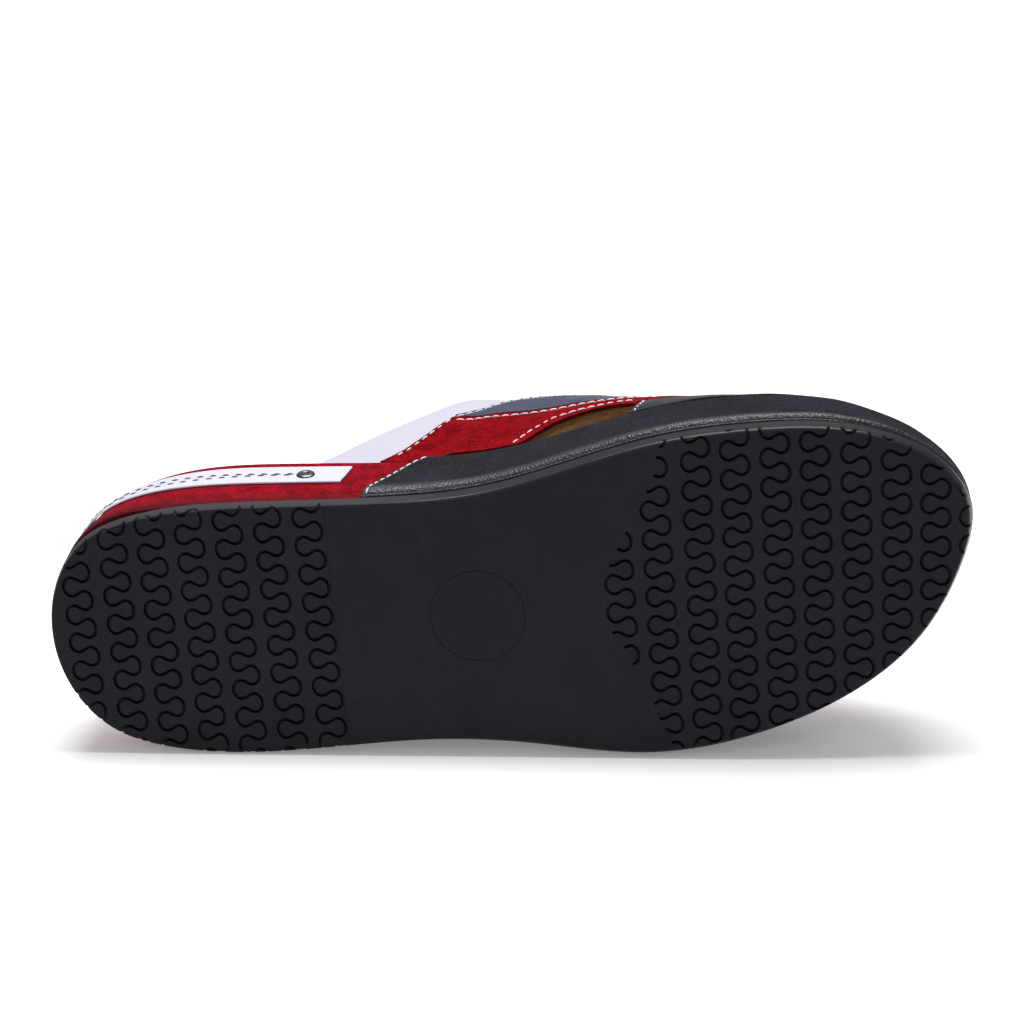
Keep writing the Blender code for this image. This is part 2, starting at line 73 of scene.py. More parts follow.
# %% Sizes in metres, and tables of shares
LENGTH = 0.2832
BALL = 0.105
OUTSOLE = 0.005
HEEL = 0.037
SPRING = 0.005
SPRING_FROM = 0.72
FLARE = 0.0024
LIP = 0.0025
INSTEP = 0.106
WALL = 0.002
BULGE = 0.0045
GAP = 0.0003
MM = 0.001

# along, across: the tread's outline from the heel's back along the medial side and round again
OUTLINE = (
    (0.000, 0.000), (0.019, -0.196), (0.042, -0.270), (0.087, -0.328), (0.238, -0.376),
    (0.376, -0.389), (0.474, -0.418), (0.565, -0.486), (0.664, -0.566), (0.778, -0.608),
    (0.860, -0.605), (0.929, -0.553), (0.979, -0.455), (1.000, -0.330), (0.994, -0.220),
    (0.975, -0.090), (0.946, 0.035), (0.881, 0.190), (0.782, 0.318), (0.652, 0.390),
    (0.521, 0.361), (0.390, 0.352), (0.227, 0.388), (0.120, 0.371), (0.063, 0.318),
    (0.026, 0.222),
)
# along, rim height, and how far the rim (medial, lateral) and the foot stand out past the tread,
# as shares of the flare
RIM = (
    (0.00, 1.00, -1.2, 0.1, 0.0), (0.03, 1.00, -0.8, 0.1, 0.5), (0.07, 1.00, -0.1, 0.1, 0.9),
    (0.14, 1.00, 0.8, 0.0, 0.2), (0.25, 1.00, 1.0, -0.1, -0.3), (0.42, 0.96, 0.6, -0.2, -0.3),
    (0.57, 0.88, 0.4, -0.2, -0.3), (0.70, 0.80, 0.4, -0.2, -0.3), (0.83, 0.70, 0.2, -0.2, -0.4),
    (0.93, 0.59, -0.4, -0.3, -0.6), (1.00, 0.56, -0.8, -0.5, -0.9),
)
# way from collar to toe tip, along, across, height of the upper's top line
TOP_LINE = (
    (0.00, 0.500, -0.20, 1.00), (0.25, 0.585, -0.21, 0.90), (0.50, 0.685, -0.22, 0.74),
    (0.75, 0.775, -0.24, 0.61), (1.00, 0.835, -0.26, 0.56),
)
# way, fullness (medial, lateral), bulge (medial, lateral), lean
RIBS = (
    (0.00, 4.0, 2.4, 2.0, 0.6, 1.0), (0.25, 3.4, 2.4, 1.7, 0.9, 1.0),
    (0.42, 2.6, 2.4, 0.3, 1.1, 1.0), (0.60, 1.9, 2.3, -0.3, 0.9, 0.8),
    (0.80, 1.8, 2.1, -0.3, 0.2, 0.3), (1.00, 1.8, 2.0, -0.3, -0.2, 0.0),
)
# way, height of the side window's arch
WINDOW = (
    (0.275, 0.00), (0.290, 0.38), (0.315, 0.72), (0.345, 0.93), (0.375, 1.04), (0.405, 1.08),
    (0.430, 1.00), (0.443, 0.88), (0.445, 0.00),
)
# way, share of the rib reached by the red band's and by the grey panel's top edge
EDGES = (
    (0.000, 0.270, 0.280), (0.075, 0.285, 0.290), (0.100, 0.288, 0.305), (0.160, 0.283, 0.385),
    (0.200, 0.285, 0.430), (0.250, 0.290, 0.480), (0.300, 0.305, 0.540), (0.350, 0.345, 0.660),
    (0.400, 0.380, 0.820), (0.460, 0.400, 1.000), (0.600, 0.420, 1.000), (0.800, 0.460, 1.000),
    (1.000, 0.480, 1.000),
)
# height share from outsole to rim, along: the rand's slanted back end
RAND_END = ((0.0, 0.343), (0.3, 0.352), (0.6, 0.371), (0.85, 0.388), (1.0, 0.402))
# share up the rib, and how far forward the collar's edge lies there, in mm
COLLAR_SLOPE = (
    (0.00, -5.4), (0.06, -4.9), (0.20, -0.6), (0.36, 4.2), (0.60, 2.4), (0.80, 0.8), (1.00, 0.0),
)
COLLAR_REACH = 0.05
COLLAR_FOOT = 0.298
# along: where the platform's top drops by the lip, in front of the heel
LIP_START = (0.40, 0.44)
BAND_BACK = 0.075
PANEL_BACK = 0.10
GUARD_BACK = 0.445
TONGUE_TIP = 0.46
TONGUE_GAP = 0.0006
WINDOW_HEIGHT = 0.0145
GUARD_HEIGHT = 0.0145
GUARD_RISE = 0.3
GUARD_RISES_FROM = 0.55
BULGE_RISE = 1.05
STRIP_HEIGHT = 0.0114
STRIP_DROP = 0.0054
STRIP_END = (0.316, 0.325)

# The pose that lays the standing shoe on its lateral side, as the solids have it
LYING = Matrix(
    (
        (0.99996936, 0.00782645, -0.00011227, -0.1415014),
        (-0.00011227, 0.0286839, 0.99958855, -0.05176238),
        (0.00782645, -0.99955791, 0.0286839, 0.0411371),
        (0.0, 0.0, 0.0, 1.0),
    )
)
POSE = np.array(LYING)


# %% Curves through the tables
def column(table, number):
    return [row[number] for row in table]


def spline(where, knots, values):
    """Values on the smooth curve through the knots."""
    knots = np.asarray(knots, float)
    values = np.asarray(values, float)
    steps = np.diff(knots)
    slopes = np.diff(values) / steps
    matrix = np.eye(len(knots))
    bends = np.zeros(len(knots))
    for i in range(1, len(knots) - 1):
        matrix[i, i - 1 : i + 2] = steps[i - 1], 2 * (steps[i - 1] + steps[i]), steps[i]
        bends[i] = 6 * (slopes[i] - slopes[i - 1])
    bends = np.linalg.solve(matrix, bends)
    k = np.clip(np.searchsorted(knots, where, side="right") - 1, 0, len(steps) - 1)
    before = (knots[k + 1] - where) / steps[k]
    after = 1 - before
    bent = (before**3 - before) * bends[k] + (after**3 - after) * bends[k + 1]
    return before * values[k] + after * values[k + 1] + bent * steps[k] ** 2 / 6


def smooth_step(x, low, high):
    share = np.clip((x - low) / (high - low), 0, 1)
    return share * share * (3 - 2 * share)


def run_along(points):
    """Distances along a line of points, from its start."""
    return np.concatenate([[0], np.cumsum(np.linalg.norm(np.diff(points, axis=0), axis=1))])


def laid(points):
    """Standing points, laid down with the shoe."""
    points = np.asarray(points, float)
    return points @ POSE[:3, :3].T + POSE[:3, 3]


# %% The outline of the sole, and the heights along it
def sole_curve():
    rows = OUTLINE[-3:] + OUTLINE + OUTLINE[:4]
    knots = np.array(rows) * (LENGTH, BALL)
    run = run_along(knots)
    fine = np.linspace(run[3], run[3 + len(OUTLINE)], 2400, endpoint=False)
    curve = np.stack([spline(fine, run, knots[:, 0]), spline(fine, run, knots[:, 1])], axis=1)
    curve = np.roll(curve, -int(np.argmin(curve[:, 0])), axis=0)
    ahead = np.roll(curve, -1, axis=0) - np.roll(curve, 1, axis=0)
    ahead /= np.linalg.norm(ahead, axis=1)[:, None]
    return np.column_stack([curve, ahead[:, 1], -ahead[:, 0]])


SOLE = sole_curve()
TOE = int(np.argmax(SOLE[:, 0]))
MEDIAL = SOLE[: TOE + 1]
LATERAL = np.vstack([SOLE[TOE:], SOLE[:1]])[::-1]


def outline(place):
    """Point and normal on the outline: place 0 is the heel's back, 1 the toe, -1 to 0 lateral."""
    place = np.asarray(place, float)
    out = np.zeros(place.shape + (4,))
    for side, sign in ((MEDIAL, 1), (LATERAL, -1)):
        mine = (place >= 0) if sign > 0 else (place < 0)
        run = run_along(side[:, :2])
        run /= run[-1]
        for k in range(4):
            out[..., k][mine] = np.interp(np.abs(place[mine]), run, side[:, k])
    return out


def place_of(along, side=1):
    """The place on the outline's side at this distance from the heel."""
    table = MEDIAL if side > 0 else LATERAL
    run = run_along(table[:, :2])
    return side * np.interp(along, table[:, 0], run / run[-1])


def round_toe(turn):
    """Turn -1 to 1 runs from the medial heel round the toe to the lateral heel."""
    return np.where(turn <= 0, 1 + turn, -(1 - turn) - 1e-9)


def tread_height(x):
    start = SPRING_FROM * LENGTH
    return SPRING * np.clip((x - start) / (LENGTH - start), 0, None) ** 2


def rim_height(x):
    return HEEL * spline(x / LENGTH, column(RIM, 0), column(RIM, 1))


def platform_top(x):
    return rim_height(x) - LIP * smooth_step(x / LENGTH, *LIP_START)


def platform_bottom(x):
    return tread_height(x) + OUTSOLE + GAP


def rim_flare(x, across):
    """How far the rim stands out past the tread; across is -1 on the medial side, 1 on the other."""
    share = np.clip(x / LENGTH, 0, 1)
    medial = spline(share, column(RIM, 0), column(RIM, 2))
    lateral = spline(share, column(RIM, 0), column(RIM, 3))
    return FLARE * (medial * (1 - across) + lateral * (1 + across)) / 2


def platform_side(x, across, height):
    """How far the platform's side stands out past the tread at this height."""
    foot = FLARE * spline(np.clip(x / LENGTH, 0, 1), column(RIM, 0), column(RIM, 4))
    rim = rim_flare(x, across)
    up = (height - platform_bottom(x)) / (rim_height(x) - platform_bottom(x))
    return foot + (rim - foot) * up


def beside(place, out, height):
    """Points that stand out past the outline by out(x, across), at height(x)."""
    x, y, nx, ny = np.moveaxis(outline(place), -1, 0)
    far = out(x, ny)
    return np.stack([x + nx * far, y + ny * far, height(x) + 0 * x], axis=-1)


print("sole: %.1f mm round" % (1000 * run_along(SOLE[:, :2])[-1]))

# %% [markdown]
# ## The surface of the upper
#
# The upper is one curved skin. Each rib of it starts on the platform and rises to the top line,
# on a curve between an ellipse and a square. All overlays, seams and folds lie on this skin, so
# it is worked out once as a table of points, and pieces read places from it.


# %% Ribs from the platform to the top line
FOOT_ABOVE = 0.0009
# how many walls the ribs' feet stand inside the platform's side, at the heel and in front
FOOT_INSET = (0.8, 0.1)


def foot_of_side(side):
    """Where the ribs of one side stand: well inside the rim at the heel, close to it in front."""
    first = place_of(COLLAR_FOOT * LENGTH, -side)
    places = first + (-side - first) * np.linspace(0, 1, 400)

    def out(x, across):
        lip = smooth_step(x / LENGTH, *LIP_START)
        inset = WALL * (FOOT_INSET[0] + (FOOT_INSET[1] - FOOT_INSET[0]) * lip)
        return platform_side(x, across, platform_top(x)) - inset

    points = beside(places, out, lambda x: platform_top(x) + FOOT_ABOVE)
    return points, outline(places)[:, 2:]


FEET = {side: foot_of_side(side) for side in (-1, 1)}


def rib(way, side):
    """One rib's points from the platform to the top line, and the distances along it."""
    foot, normals = FEET[side]
    run = run_along(foot)
    run /= run[-1]
    start = np.array([np.interp(way, run, foot[:, k]) for k in range(3)])
    normal = np.array([np.interp(way, run, normals[:, k]) for k in range(2)])
    share = column(TOP_LINE, 0)
    size = (LENGTH, BALL, INSTEP)
    top = np.array([spline(way, share, column(TOP_LINE, k + 1)) * size[k] for k in range(3)])
    share = column(RIBS, 0)
    fullness = spline(way, share, column(RIBS, 1 if side < 0 else 2))
    bulge = spline(way, share, column(RIBS, 3 if side < 0 else 4)) * BULGE
    lean = np.clip(spline(way, share, column(RIBS, 5)), 0, 1)
    angle = np.linspace(0, math.pi / 2, 160)
    inward = 1 - np.maximum(np.cos(angle), 0) ** (2 / fullness)
    upward = np.sin(angle) ** (2 / fullness)
    in_lip = (LIP + 2 * GAP) / (top[2] - start[2])
    free = np.clip((upward - in_lip) / (1 - in_lip), 0, 1)
    out = bulge * np.sin(math.pi * free**BULGE_RISE)
    x = start[0] + (top[0] - start[0]) * (lean * upward + (1 - lean) * inward) + normal[0] * out
    y = start[1] + (top[1] - start[1]) * inward + normal[1] * out
    z = start[2] + (top[2] - start[2]) * upward
    points = np.stack([x, y, z], axis=1)
    run = run_along(points)
    return points, run


# %% The skin as a table: turn -1 to 1 from the medial collar round the toe, share up the rib
TURNS = np.linspace(-1, 1, 481)
SHARES = np.linspace(0, 1, 161)
TOE_REACH = 0.07
TOE_ROUNDS = 60


def skin_table():
    """Points of the skin for all turns and shares, and the length of each rib."""
    points = np.zeros((len(TURNS), len(SHARES), 3))
    lengths = np.zeros(len(TURNS))
    for i, turn in enumerate(TURNS):
        found, run = rib(1 - abs(turn), -1 if turn <= 0 else 1)
        lengths[i] = run[-1]
        for k in range(3):
            points[i, :, k] = np.interp(SHARES * run[-1], run, found[:, k])
    # the collar's edge slopes: its foot lies further back, its shoulder further forward
    near_collar = np.exp(-(((1 - np.abs(TURNS)) / COLLAR_REACH) ** 2))
    slope = spline(SHARES, column(COLLAR_SLOPE, 0), column(COLLAR_SLOPE, 1)) * MM
    points[:, :, 0] += near_collar[:, None] * slope[None, :]
    # ribs of both sides meet at the toe, so the skin is smoothed across their meeting line
    near_toe = np.exp(-((TURNS / TOE_REACH) ** 2))[:, None, None]
    for _ in range(TOE_ROUNDS):
        mean = (np.roll(points, 1, axis=0) + 2 * points + np.roll(points, -1, axis=0)) / 4
        points = points + near_toe * (mean - points)
    return points, lengths


def normal_table(points):
    """Outward normals of the skin, blended with the other side's near the top line."""
    across, up = np.gradient(points, axis=0), np.gradient(points, axis=1)
    normals = np.cross(across, up)
    normals[:, :2] = normals[:, 2:3]
    normals /= np.maximum(np.linalg.norm(normals, axis=2, keepdims=True), 1e-12)
    for k, weight in ((-1, 0.5), (-2, 0.4), (-3, 0.2)):
        normals[:, k] = (1 - weight) * normals[:, k] + weight * normals[::-1, k]
    return normals / np.linalg.norm(normals, axis=2, keepdims=True)


SKIN, RIB_LENGTHS = skin_table()
NORMALS = normal_table(SKIN)


def rib_length(turn):
    return np.interp(turn, TURNS, RIB_LENGTHS)


def from_table(table, turn, distance):
    """Values of the table at a distance up the rib, in metres."""
    turn = np.asarray(turn, float)
    share = np.clip(distance / rib_length(turn), 0, 1)
    i = np.clip((turn + 1) / 2 * (len(TURNS) - 1), 0, len(TURNS) - 1)
    j = np.clip(share * (len(SHARES) - 1), 0, len(SHARES) - 1)
    i0 = np.minimum(i.astype(int), len(TURNS) - 2)
    j0 = np.minimum(j.astype(int), len(SHARES) - 2)
    a, b = (i - i0)[..., None], (j - j0)[..., None]
    low = table[i0, j0] * (1 - a) + table[i0 + 1, j0] * a
    high = table[i0, j0 + 1] * (1 - a) + table[i0 + 1, j0 + 1] * a
    return low * (1 - b) + high * b


def on_skin(turn, distance):
    return from_table(SKIN, turn, distance)


def skin_normal(turn, distance):
    normal = from_table(NORMALS, turn, distance)
    return normal / np.linalg.norm(normal, axis=-1, keepdims=True)


def foot_along(turn):
    """How far along the shoe the rib at this turn stands, as a share of the length."""
    return np.interp(turn, TURNS, SKIN[:, 0, 0]) / LENGTH


def window_arch(turn):
    way = 1 - np.abs(turn)
    return WINDOW_HEIGHT * np.interp(way, column(WINDOW, 0), column(WINDOW, 1), 0, 0)


def band_top(turn):
    return rib_length(turn) * spline(1 - np.abs(turn), column(EDGES, 0), column(EDGES, 1))


def panel_top(turn):
    way = 1 - np.abs(turn)
    share = spline(way, column(EDGES, 0), column(EDGES, 2))
    length = rib_length(turn)
    return length * np.where(way >= TONGUE_TIP, 1, np.minimum(share, 1 - TONGUE_GAP / length))


def guard_top(turn):
    return LIP + GUARD_HEIGHT * (1 + GUARD_RISE * smooth_step(1 - np.abs(turn), GUARD_RISES_FROM, 1))


middle = skin_normal(np.array([-0.6]), np.array([0.02]))[0]
print("ribs from %.0f to %.0f mm" % (RIB_LENGTHS.min() / MM, RIB_LENGTHS.max() / MM))
print("a normal on the medial side:", middle.round(2))

# %% [markdown]
# ## Tools of the bench
#
# Leather is cut flat and bent over a last. The same is done here: a grid primitive is a flat
# piece of leather, its points are laid over a surface, and modifiers give it a thickness and
# rounded edges.


# %% A grid laid over a surface
INSIDE = Vector((0.16, -0.01, 0.03))


def pick(piece):
    bpy.ops.object.select_all(action="DESELECT")
    piece.select_set(True)
    bpy.context.view_layer.objects.active = piece


def laid_grid(name, us, vs, place, merge=1e-6, marks=None):
    """A grid primitive with its columns at us and its rows at vs, laid where place(u, v) says.

    Marks are attributes of the points, as functions of u and v too.
    """
    bpy.ops.object.select_all(action="DESELECT")
    bpy.ops.mesh.primitive_grid_add(
        x_subdivisions=len(us) - 1, y_subdivisions=len(vs) - 1, size=1, calc_uvs=True
    )
    piece = bpy.context.object
    piece.name = piece.data.name = name
    flat = np.zeros(len(piece.data.vertices) * 3)
    piece.data.vertices.foreach_get("co", flat)
    flat = flat.reshape(-1, 3)
    i = np.rint((flat[:, 0] + 0.5) * (len(us) - 1)).astype(int)
    j = np.rint((flat[:, 1] + 0.5) * (len(vs) - 1)).astype(int)
    points = place(np.asarray(us)[i], np.asarray(vs)[j])
    for mark, value in (marks or {}).items():
        mark_points(piece, mark, value(np.asarray(us)[i], np.asarray(vs)[j]))
    piece.data.vertices.foreach_set("co", np.ascontiguousarray(points, float).ravel())
    piece.data.update()
    pick(piece)
    bpy.ops.object.mode_set(mode="EDIT")
    bpy.ops.mesh.select_all(action="SELECT")
    bpy.ops.mesh.remove_doubles(threshold=merge)
    bpy.ops.mesh.normals_make_consistent(inside=False)
    bpy.ops.object.mode_set(mode="OBJECT")
    return piece


def close_ends(piece):
    """The open ends of a swept section are filled, and all faces turned outwards."""
    pick(piece)
    bpy.ops.object.mode_set(mode="EDIT")
    bpy.ops.mesh.select_all(action="SELECT")
    bpy.ops.mesh.fill_holes(sides=0)
    bpy.ops.mesh.select_all(action="SELECT")
    bpy.ops.mesh.normals_make_consistent(inside=False)
    bpy.ops.object.mode_set(mode="OBJECT")


def face_outwards(piece):
    """A sheet on the skin is turned so that its faces look away from the shoe's inside."""
    bm = bmesh.new()
    bm.from_mesh(piece.data)
    bm.normal_update()
    if sum(v.normal.dot(v.co - INSIDE) for v in bm.verts) < 0:
        bmesh.ops.reverse_faces(bm, faces=bm.faces)
    bm.to_mesh(piece.data)
    bm.free()


def read_points(piece):
    found = np.zeros(len(piece.data.vertices) * 3)
    piece.data.vertices.foreach_get("co", found)
    return found.reshape(-1, 3)


def write_points(piece, points):
    piece.data.vertices.foreach_set("co", np.ascontiguousarray(points, float).ravel())
    piece.data.update()


def mark_points(piece, mark, values):
    """An attribute of the piece's points, for its material to read."""
    layer = piece.data.attributes.new(mark, "FLOAT", "POINT")
    layer.data.foreach_set("value", np.asarray(values, np.float32))


def apply_modifier(piece, kind, **settings):
    pick(piece)
    made = piece.modifiers.new(kind.lower(), kind)
    for key, value in settings.items():
        setattr(made, key, value)
    bpy.ops.object.modifier_apply(modifier=made.name)


def round_edges(piece, width):
    limit = math.radians(55)
    apply_modifier(piece, "BEVEL", width=width, segments=3, limit_method="ANGLE", angle_limit=limit)


def smooth(piece, angle):
    pick(piece)
    bpy.ops.object.shade_smooth_by_angle(angle=math.radians(angle))


def triangles(piece):
    return sum(len(face.vertices) - 2 for face in piece.data.polygons)


def lay_down(piece):
    piece.data.transform(LYING)
    piece.data.update()


def hand_in(piece, slot, *nodes):
    """The finished piece rides on the shoe, and stands for its solids."""
    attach(piece, "root")
    if nodes:
        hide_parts(*nodes)
    print("%-22s %7d triangles" % (piece.name, triangles(piece)))


def crowded(low, high, step, near, reach):
    """Positions from low to high, a step apart, and closer, near apart, within reach of the ends."""
    edge = np.arange(0, reach, near)
    inner = np.linspace(low + reach, high - reach, max(2, int((high - low - 2 * reach) / step) + 1))
    return np.concatenate([low + edge, inner, (high - edge)[::-1]])


def crowded_ends(count, near, reach):
    """Columns from -1 to 1: count of them in the middle, and closer ones within reach of the ends."""
    edge = np.arange(0, reach, near)
    return np.concatenate([-1 + edge, np.linspace(-1 + reach, 1 - reach, count), (1 - edge)[::-1]])


# %% [markdown]
# ## Finishes
#
# Each material is a small set of nodes on Object coordinates, so that grain and wear keep their
# real size on every piece. Constants stay on the shader's own sockets.


# %% Helpers for node materials
class Finish:
    """A material with one Principled shader, built up from a few kinds of node."""

    def __init__(self, name, roughness, metallic=0.0, specular=0.5):
        self.made = bpy.data.materials.new(name)
        self.made.use_nodes = True
        self.tree = self.made.node_tree
        self.shader = self.tree.nodes["Principled BSDF"]
        self.shader.inputs["Roughness"].default_value = roughness
        self.shader.inputs["Metallic"].default_value = metallic
        self.shader.inputs["Specular IOR Level"].default_value = specular
        self.where = self.tree.nodes.new("ShaderNodeTexCoord").outputs["Object"]
        self.height = None

    def node(self, kind, **settings):
        made = self.tree.nodes.new(kind)
        for key, value in settings.items():
            setattr(made, key, value)
        return made

    def link(self, source, target):
        self.tree.links.new(source, target)

    def noise(self, scale, detail=3.0, roughness=0.55, distortion=0.0):
        made = self.node("ShaderNodeTexNoise")
        made.inputs["Scale"].default_value = scale
        made.inputs["Detail"].default_value = detail
        made.inputs["Roughness"].default_value = roughness
        made.inputs["Distortion"].default_value = distortion
        self.link(self.where, made.inputs["Vector"])
        return made.outputs["Fac"]

    def cells(self, scale):
        made = self.node("ShaderNodeTexVoronoi", feature="F1")
        made.inputs["Scale"].default_value = scale
        self.link(self.where, made.inputs["Vector"])
        return made.outputs["Distance"]

    def ramp(self, value, low, high, start, end):
        made = self.node("ShaderNodeMapRange")
        made.interpolation_type = "SMOOTHSTEP"
        made.inputs["From Min"].default_value = low
        made.inputs["From Max"].default_value = high
        made.inputs["To Min"].default_value = start
        made.inputs["To Max"].default_value = end
        self.link(value, made.inputs["Value"])
        return made.outputs["Result"]

    def maths(self, operation, a, b):
        made = self.node("ShaderNodeMath", operation=operation)
        for socket, value in zip(made.inputs, (a, b)):
            if isinstance(value, (int, float)):
                socket.default_value = value
            else:
                self.link(value, socket)
        return made.outputs["Value"]

    def blend(self, a, share, b, other):
        """Two patterns added up, each with its own share."""
        return self.maths("ADD", self.maths("MULTIPLY", a, share), self.maths("MULTIPLY", b, other))

    def axis(self, letter):
        made = self.node("ShaderNodeSeparateXYZ")
        self.link(self.where, made.inputs["Vector"])
        return made.outputs[letter]

    def attribute(self, name):
        return self.node("ShaderNodeAttribute", attribute_name=name).outputs["Fac"]

    def mix(self, factor, a, b):
        made = self.node("ShaderNodeMix", data_type="RGBA")
        self.link(factor, made.inputs["Factor"])
        for socket, value in ((made.inputs[6], a), (made.inputs[7], b)):
            if isinstance(value, tuple):
                socket.default_value = (*value, 1)
            else:
                self.link(value, socket)
        return made.outputs[2]

    def colour(self, source):
        if isinstance(source, tuple):
            self.shader.inputs["Base Color"].default_value = (*source, 1)
        else:
            self.link(source, self.shader.inputs["Base Color"])

    def roughness(self, source):
        self.link(source, self.shader.inputs["Roughness"])

    def bump(self, height, distance, strength):
        made = self.node("ShaderNodeBump")
        made.inputs["Distance"].default_value = distance
        made.inputs["Strength"].default_value = strength
        self.link(height, made.inputs["Height"])
        if self.height:
            self.link(self.height, made.inputs["Normal"])
        self.height = made.outputs["Normal"]
        self.link(self.height, self.shader.inputs["Normal"])


# %% [markdown]
# Smooth leather has a fine pebble grain, a little over half a millimetre across, over a slow waviness of
# the hide. A Voronoi pattern gives the pebbles, and noise breaks their regularity and varies the
# gloss. The rand's roll is rubbed, so it takes an attribute that shines where it stands out.


# %% Smooth leathers
def smooth_leather(name, colour, dark, roughness, grain, specular, cell=1700.0, shine=False):
    finish = Finish(name, roughness, specular=specular)
    both = finish.blend(finish.noise(60, 4), 0.45, finish.noise(900, 3), 0.55)
    shade = finish.ramp(both, 0.40, 0.60, 0, 1)
    finish.colour(finish.mix(shade, dark, colour))
    gloss = finish.ramp(finish.noise(240, 3), 0.3, 0.7, roughness - 0.06, roughness + 0.08)
    if shine:
        rubbed = finish.attribute("rubbed")
        level = finish.ramp(rubbed, 0, 1, specular, 0.42)
        finish.link(level, finish.shader.inputs["Specular IOR Level"])
        gloss = finish.maths("SUBTRACT", gloss, finish.maths("MULTIPLY", rubbed, 0.10))
    finish.roughness(gloss)
    finish.bump(finish.cells(cell), grain, 0.55)
    finish.bump(finish.noise(2600, 2), grain * 0.6, 0.4)
    finish.bump(finish.noise(160, 3), 0.00035, 0.25)
    return finish.made


black_leather = smooth_leather(
    "black_leather", (0.024, 0.025, 0.031), (0.013, 0.014, 0.018), 0.46, 0.00020, 0.20, 1350.0
)
rand_leather = smooth_leather(
    "black_leather_rolled", (0.022, 0.023, 0.030), (0.012, 0.013, 0.017), 0.46, 0.00028, 0.02, 1350.0, True
)
white_leather = smooth_leather(
    "white_leather", (0.50, 0.495, 0.585), (0.48, 0.475, 0.56), 0.46, 0.00003, 0.2
)
strip_leather = smooth_leather(
    "strip_leather", (0.60, 0.595, 0.70), (0.57, 0.565, 0.66), 0.46, 0.00003, 0.2
)
grey_leather = smooth_leather(
    "grey_leather", (0.062, 0.069, 0.105), (0.050, 0.056, 0.087), 0.45, 0.00006, 0.1
)

# %% [markdown]
# Suede is leather with its fibres raised. It has no gloss at all, a soft sheen at grazing
# angles, and lighter and darker patches where the nap was brushed one way or the other. Round the
# platform it is made darker towards its foot, which an attribute of the points says.


# %% Red suede
def suede(name, light, dark, darkened_foot=None):
    finish = Finish(name, 0.95, specular=0.03)
    finish.shader.inputs["Sheen Weight"].default_value = 0.10
    finish.shader.inputs["Sheen Roughness"].default_value = 0.45
    finish.shader.inputs["Sheen Tint"].default_value = (1.0, 0.22, 0.24, 1)
    patches = finish.noise(260, 5, 0.7, 0.5)
    nap = finish.noise(1150, 5, 0.8)
    both = finish.blend(patches, 0.40, nap, 0.60)
    body = finish.mix(finish.ramp(both, 0.43, 0.57, 0, 1), dark, light)
    # the suede is made darker towards the platform's foot, unevenly, as the attribute low_down says
    if darkened_foot:
        low, high, tone = darkened_foot
        uneven = finish.maths("MULTIPLY", finish.noise(700, 4, 0.7), 0.35)
        darker_share = finish.maths("ADD", finish.attribute("low_down"), uneven)
        body = finish.mix(finish.ramp(darker_share, low, high, 0, 1), body, tone)
    finish.colour(body)
    finish.bump(nap, 0.0005, 0.9)
    finish.bump(finish.noise(420, 4, 0.6), 0.0007, 0.5)
    return finish.made


red_suede = suede("red_suede", (0.29, 0.0026, 0.008), (0.12, 0.0010, 0.004))
suede_edge = suede("red_suede_edge", (0.15, 0.006, 0.010), (0.07, 0.003, 0.005))
# the values at which the platform's suede starts and stops turning darker towards its foot, and that darker
# colour
FOOT_TONE = (0.86, 1.25, (0.055, 0.010, 0.014))
heel_suede = suede("red_suede_platform", (0.33, 0.0050, 0.014), (0.13, 0.0020, 0.007), FOOT_TONE)

# %% [markdown]
# The lining is pigskin: tan, with small dark pores and brown clouds from the tanning. The
# outsole is carbon-black rubber, almost without colour. Its moulded face is matt, and its edge
# was buffed grey at the heel and left glossy round the forefoot.


# %% Lining, rubber, metal and thread
def lining():
    finish = Finish("tan_lining", 0.62, specular=0.35)
    clouds = finish.ramp(finish.noise(170, 5, 0.7, 0.3), 0.35, 0.65, 0, 1)
    pores = finish.ramp(finish.cells(900), 0.10, 0.24, 1, 0)
    body = finish.mix(clouds, (0.30, 0.160, 0.052), (0.38, 0.215, 0.080))
    finish.colour(finish.mix(pores, body, (0.12, 0.055, 0.016)))
    finish.bump(finish.noise(1200, 3), 0.0001, 0.5)
    finish.bump(finish.noise(180, 3), 0.0004, 0.3)
    return finish.made


def rubber():
    finish = Finish("black_rubber", 0.62, specular=0.09)
    cloud = finish.ramp(finish.noise(45, 5, 0.6, 0.3), 0.35, 0.65, 0, 1)
    body = finish.mix(cloud, (0.0088, 0.0083, 0.0112), (0.0118, 0.0112, 0.0146))
    grain = finish.ramp(finish.noise(3200, 2, 0.8), 0.40, 0.70, 0, 1)
    body = finish.mix(finish.maths("MULTIPLY", grain, 0.8), body, (0.0190, 0.0182, 0.0228))
    dust = finish.ramp(finish.cells(260), 0.045, 0.030, 0, 0.55)
    body = finish.mix(dust, body, (0.07, 0.07, 0.078))
    edge = finish.attribute("edge")
    heel = finish.ramp(finish.axis("X"), -0.045, -0.020, 1, 0)
    body = finish.mix(finish.maths("MULTIPLY", edge, heel), body, (0.047, 0.043, 0.050))
    finish.colour(body)
    gloss = finish.maths("MULTIPLY", edge, finish.maths("SUBTRACT", 1.0, heel))
    finish.roughness(finish.ramp(gloss, 0, 1, 0.60, 0.30))
    finish.link(finish.ramp(gloss, 0, 1, 0.09, 0.24), finish.shader.inputs["Specular IOR Level"])
    finish.bump(finish.noise(2400, 3, 0.7), 0.00005, 0.5)
    return finish.made


def metal():
    finish = Finish("gunmetal", 0.28, metallic=1.0)
    finish.colour(finish.mix(finish.noise(900, 3), (0.10, 0.10, 0.105), (0.17, 0.17, 0.18)))
    finish.bump(finish.noise(1500, 2), 0.00002, 0.4)
    return finish.made


def thread(name, colour, dark):
    finish = Finish(name, 0.75, specular=0.25)
    finish.colour(finish.mix(finish.ramp(finish.noise(3000, 2), 0.35, 0.65, 0, 1), dark, colour))
    finish.bump(finish.noise(5200, 2), 0.00008, 0.6)
    return finish.made


